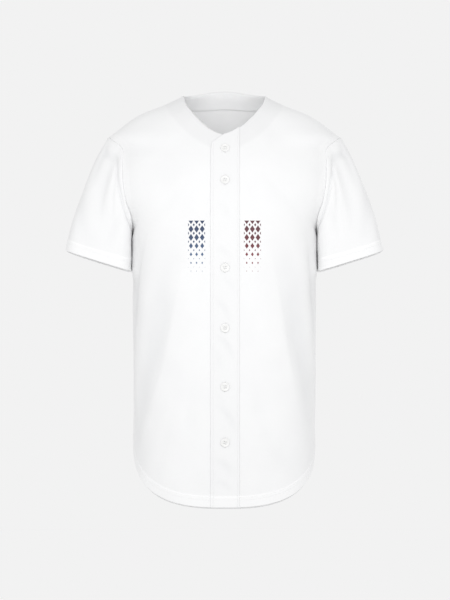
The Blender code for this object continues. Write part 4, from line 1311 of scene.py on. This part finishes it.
seamThread = stitchRun("bodySeamStitches", [
    hemRun(0.0180), hemRun(0.0130), armholeRun(1, 0.0072), armholeRun(-1, 0.0072), neckRun(1), neckRun(-1),
])
bandThread = stitchRun("bandStitches", [bandRun(band["stitched"][0], high=0.006), bandRun(band["stitched"][1])])
cuffBand = sleeve["hemBand"]
cuffThreads = [
    stitchRun("cuffStitches" + word, [sleeveRun(side, cuffBand - 0.0020), sleeveRun(side, cuffBand - 0.0070)])
    for word, side in (("Left", 1), ("Right", -1))
]
insideEdge = facingPlaces[-2]
insideNormal = -bodyNormal(insideEdge[:, 0], insideEdge[:, 1])
insideOut = bodyRelief(insideEdge[:, 0], insideEdge[:, 1]) - jersey["cloth"] - facing["gap"] - facing["thickness"]
insideLine = bodyForm(insideEdge[:, 0], insideEdge[:, 1]) - insideNormal * insideOut[:, None]
facingThread = stitchRun("facingStitches", [(insideLine, insideNormal)])
print("stitching made")

# Four-hole buttons with their thread and worked holes
button = {
    "radius": 0.0080,
    "thickness": 0.0025,
    "seat": 0.0004,
    "profile": (  # shares of the radius and the thickness
        (0.00, 0.76), (0.30, 0.75), (0.50, 0.76), (0.62, 0.81), (0.70, 0.92), (0.76, 0.985), (0.83, 1.00),
        (0.90, 0.95), (0.96, 0.80), (0.995, 0.58), (1.00, 0.44), (0.97, 0.26), (0.92, 0.11), (0.84, 0.02),
        (0.70, 0.00), (0.00, 0.00),
    ),
    "holeRadius": 0.00080,
    "holePitch": 0.00160,
    "segments": 56,
    "threadRadius": 0.00046,
    "tilts": (3, -5, 8, -2, 6, -9),  # degrees that each one has turned
}


def buttonMesh():
    mesh = bpy.data.meshes.new("buttonBody")
    model = bmesh.new()
    rings = []
    for share, level in button["profile"]:
        if share == 0:
            rings.append([model.verts.new((0, 0, level * button["thickness"]))])
            continue
        ring = []
        for i in range(button["segments"]):
            turn = 2 * math.pi * i / button["segments"]
            r = share * button["radius"]
            ring.append(model.verts.new((r * math.cos(turn), r * math.sin(turn), level * button["thickness"])))
        rings.append(ring)
    for upper, lower in zip(rings[:-1], rings[1:]):
        for i in range(button["segments"]):
            n = (i + 1) % button["segments"]
            if len(upper) == 1:
                model.faces.new((upper[0], lower[i], lower[n]))
            elif len(lower) == 1:
                model.faces.new((upper[i], lower[0], upper[n]))
            else:
                model.faces.new((upper[i], lower[i], lower[n], upper[n]))
    bmesh.ops.recalc_face_normals(model, faces=model.faces[:])
    model.to_mesh(mesh)
    model.free()
    body = bpy.data.objects.new("buttonBody", mesh)
    scene.collection.objects.link(body)
    drills = bmesh.new()
    for x in (-1, 1):
        for y in (-1, 1):
            spot = Matrix.Translation((x * button["holePitch"], y * button["holePitch"], 0.0015))
            bmesh.ops.create_cone(drills, cap_ends=True, segments=20, radius1=button["holeRadius"],
                                  radius2=button["holeRadius"], depth=0.008, matrix=spot)
    drillMesh = bpy.data.meshes.new("buttonDrills")
    drills.to_mesh(drillMesh)
    drills.free()
    drill = bpy.data.objects.new("buttonDrills", drillMesh)
    scene.collection.objects.link(drill)
    cut = body.modifiers.new("holes", "BOOLEAN")
    cut.object, cut.operation, cut.solver = drill, "DIFFERENCE", "EXACT"
    bpy.context.view_layer.update()
    done = bpy.data.meshes.new_from_object(body.evaluated_get(bpy.context.evaluated_depsgraph_get()))
    bpy.data.objects.remove(body)
    bpy.data.objects.remove(drill)
    done.materials.clear()
    done.materials.append(materials["plastic"])
    done.shade_smooth()
    done.set_sharp_from_angle(angle=math.radians(38))
    return done


def tube(model, points, radius, sides=8):  # a thread along a line of points
    points = [Vector(p) for p in points]
    rings = []
    for i, point in enumerate(points):
        way = (points[min(i + 1, len(points) - 1)] - points[max(i - 1, 0)]).normalized()
        beside = way.orthogonal().normalized()
        other = way.cross(beside)
        rings.append([
            model.verts.new(point + (beside * math.cos(a) + other * math.sin(a)) * radius)
            for a in (2 * math.pi * k / sides for k in range(sides))
        ])
    for lower, upper in zip(rings[:-1], rings[1:]):
        for k in range(sides):
            n = (k + 1) % sides
            model.faces.new((lower[k], lower[n], upper[n], upper[k]))
    model.faces.new(rings[0][::-1])
    model.faces.new(rings[-1])


def buttonThreadMesh():
    model = bmesh.new()
    pitch, dish = button["holePitch"], button["thickness"] * 0.76
    radius = button["threadRadius"]
    for side in (-1, 1):
        for strand in (-0.30, 0.30):
            x = side * pitch + strand * button["holeRadius"] * 1.1
            line = []
            for t in np.linspace(-1, 1, 15):
                high = dish + radius * 0.9 if abs(t) < 0.72 else dish + radius * 0.9 - (abs(t) - 0.72) / 0.28 * (dish + 0.0012)
                line.append((x, t * pitch * 1.05, high))
            tube(model, line, radius)
    mesh = bpy.data.meshes.new("buttonThread")
    bmesh.ops.recalc_face_normals(model, faces=model.faces[:])
    model.to_mesh(mesh)
    model.free()
    mesh.materials.append(materials["thread"])
    mesh.shade_smooth()
    return mesh


def placeOnBand(across, height, lift):
    angle = float(angleAt(across, height))
    point = bodyForm(np.array(angle), np.array(height)) + bodyNormal(np.array(angle), np.array(height)) * lift
    return Vector(point), Vector(bodyNormal(np.array(angle), np.array(height)))


def uprightMatrix(spot, out, degrees):
    side = Vector((0, 0, 1)).cross(out).normalized()
    up = out.cross(side)
    basis = Matrix((side, up, out)).transposed().to_4x4()
    return Matrix.Translation(spot) @ basis @ Matrix.Rotation(math.radians(degrees), 4, "Z")


def buttonholeMesh(name, height):
    # a narrow slit worked round with close stitches, seen above and below the button
    length, half = 0.0185, 0.00120
    turn = 2 * math.pi * np.arange(64) / 64
    y = np.cos(turn) * length / 2
    x = np.sign(np.round(np.sin(turn), 6)) * half * np.minimum(1.0, (length / 2 - np.abs(y)) / half + 0.25)
    t = np.array((0.0, 0.3, 0.7, 1.0))
    high = np.array((-0.0002, 0.00018, 0.00018, -0.0002))
    across = buttonAcross + x[:, None] * (0.25 + 1.20 * t)
    level = height + y[:, None] * (0.97 + 0.065 * t)
    angle = angleAt(across, level)
    lift = bandLift(across, level) + jersey["seamGap"] + bodyRelief(angle, level) + high
    lines = bodyForm(angle, level) + bodyNormal(angle, level) * lift[..., None]
    model = bmesh.new()
    for line in lines:
        tube(model, line, 0.00020, sides=6)
    mesh = bpy.data.meshes.new(name)
    bmesh.ops.recalc_face_normals(model, faces=model.faces[:])
    model.to_mesh(mesh)
    model.free()
    mesh.materials.append(materials["thread"])
    mesh.shade_smooth()
    return mesh


buttonBody = buttonMesh()
buttonThread = buttonThreadMesh()
for number, (height, tilt) in enumerate(zip(buttonHeights, button["tilts"]), start=1):
    lift = jersey["seamGap"] + band["thickness"] + 0.00022 + button["seat"]
    spot, out = placeOnBand(buttonAcross, height, lift)
    place = uprightMatrix(spot, out, tilt)
    for name, mesh in ((f"buttonTurned{number}", buttonBody), (f"buttonThread{number}", buttonThread)):
        piece = bpy.data.objects.new(name, mesh)
        piece.matrix_world = place
        scene.collection.objects.link(piece)
        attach(piece, "root")
        if name.startswith("buttonTurned"):
            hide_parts(f"button_{number}")
    hole = bpy.data.objects.new(f"buttonhole{number}", buttonholeMesh(f"buttonhole{number}", height))
    scene.collection.objects.link(hole)
    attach(hole, "root")
print("buttons made")

for piece, node, slotName in (
    (frontLeft, "front_left", "knit"), (frontRight, "front_right", "knit"), (backPanel, "back", "knit"),
    (sleeveLeft, "sleeve_left", "knit"), (sleeveRight, "sleeve_right", "knit"),
    (buttonBand, "button_band", "band"), (neckFacing, "neck_facing", "facing"),
):
    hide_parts(node)

# Studio: a pale floor far below, the same tone as the room, and soft light from in front
studio = {
    "room": 0.888,  # as the camera sees it
    "ambient": 0.83,  # as the cloth is lit by it
    "floorHeight": -4.6,
    "floorAlbedo": 0.90,
    "key": (0.0, -1.50, -0.03, 8.0, 1.9, 0.8),  # across, ahead, height, watts, width, height of the lamp
    "rear": (0.5, 1.9, 0.20, 10.5, 1.6, 0.9),
    "aim": (0.0, 0.0, -0.18),
    "inside": (0.0, -0.02, -0.13, 0.12, 0.03),  # across, ahead, height, watts, radius
}
world = bpy.data.worlds.new("paleRoom")
scene.world = world
world.use_nodes = True
world.node_tree.nodes["Background"].inputs["Color"].default_value = (1.0, 1.0, 1.0, 1)
sky = Wire(world.node_tree)
seen = sky.add("ShaderNodeLightPath")
strength = studio["ambient"] + seen * (studio["room"] - studio["ambient"])
world.node_tree.links.new(strength.socket, world.node_tree.nodes["Background"].inputs["Strength"])

floorMesh = bpy.data.meshes.new("paleFloor")
ring = [(45 * math.cos(a), 45 * math.sin(a), studio["floorHeight"]) for a in np.linspace(0, 2 * math.pi, 65)[:-1]]
floorMesh.from_pydata(ring, [], [list(range(64))])
floorMaterial, floorWire, floorShader = newMaterial("paleFloor", 1.0)
floorShader.inputs["Base Color"].default_value = (studio["floorAlbedo"],) * 3 + (1,)
floorShader.inputs["Specular IOR Level"].default_value = 0.0
floorShader.inputs["Emission Color"].default_value = (1, 1, 1, 1)
floorShader.inputs["Emission Strength"].default_value = studio["room"] - studio["ambient"] * studio["floorAlbedo"]
floorMesh.materials.append(floorMaterial)
floor = bpy.data.objects.new("paleFloor", floorMesh)
scene.collection.objects.link(floor)

for name, (x, y, z, watts, wide, tall) in (("keyLight", studio["key"]), ("rearLight", studio["rear"])):
    lamp = bpy.data.lights.new(name, "AREA")
    lamp.shape = "RECTANGLE"
    lamp.energy, lamp.size, lamp.size_y = watts, wide, tall
    thing = bpy.data.objects.new(name, lamp)
    thing.visible_camera = False
    thing.location = (x, y, z)
    thing.rotation_euler = (Vector(studio["aim"]) - Vector((x, y, z))).to_track_quat("-Z", "Y").to_euler()
    scene.collection.objects.link(thing)

fill = bpy.data.lights.new("insideFill", "POINT")  # light that white cloth lets through
fill.energy, fill.shadow_soft_size = studio["inside"][3:]
fillLamp = bpy.data.objects.new("insideFill", fill)
fillLamp.location = studio["inside"][:3]
fillLamp.visible_camera = False
scene.collection.objects.link(fillLamp)

cameraData = bpy.data.cameras.new("photoCamera")
cameraData.sensor_width = 36  # across the picture's long side
cameraData.lens = 36 * 5 / (600 * 0.00184)
cameraData.clip_end = 200
camera = bpy.data.objects.new("photoCamera", cameraData)
camera.location = (0.00092, -5.0, -0.37536)
camera.rotation_euler = (math.radians(90), 0, 0)
scene.collection.objects.link(camera)
scene.camera = camera
scene.view_settings.view_transform = "Standard"
print("studio ready")

bpy.context.view_layer.update()
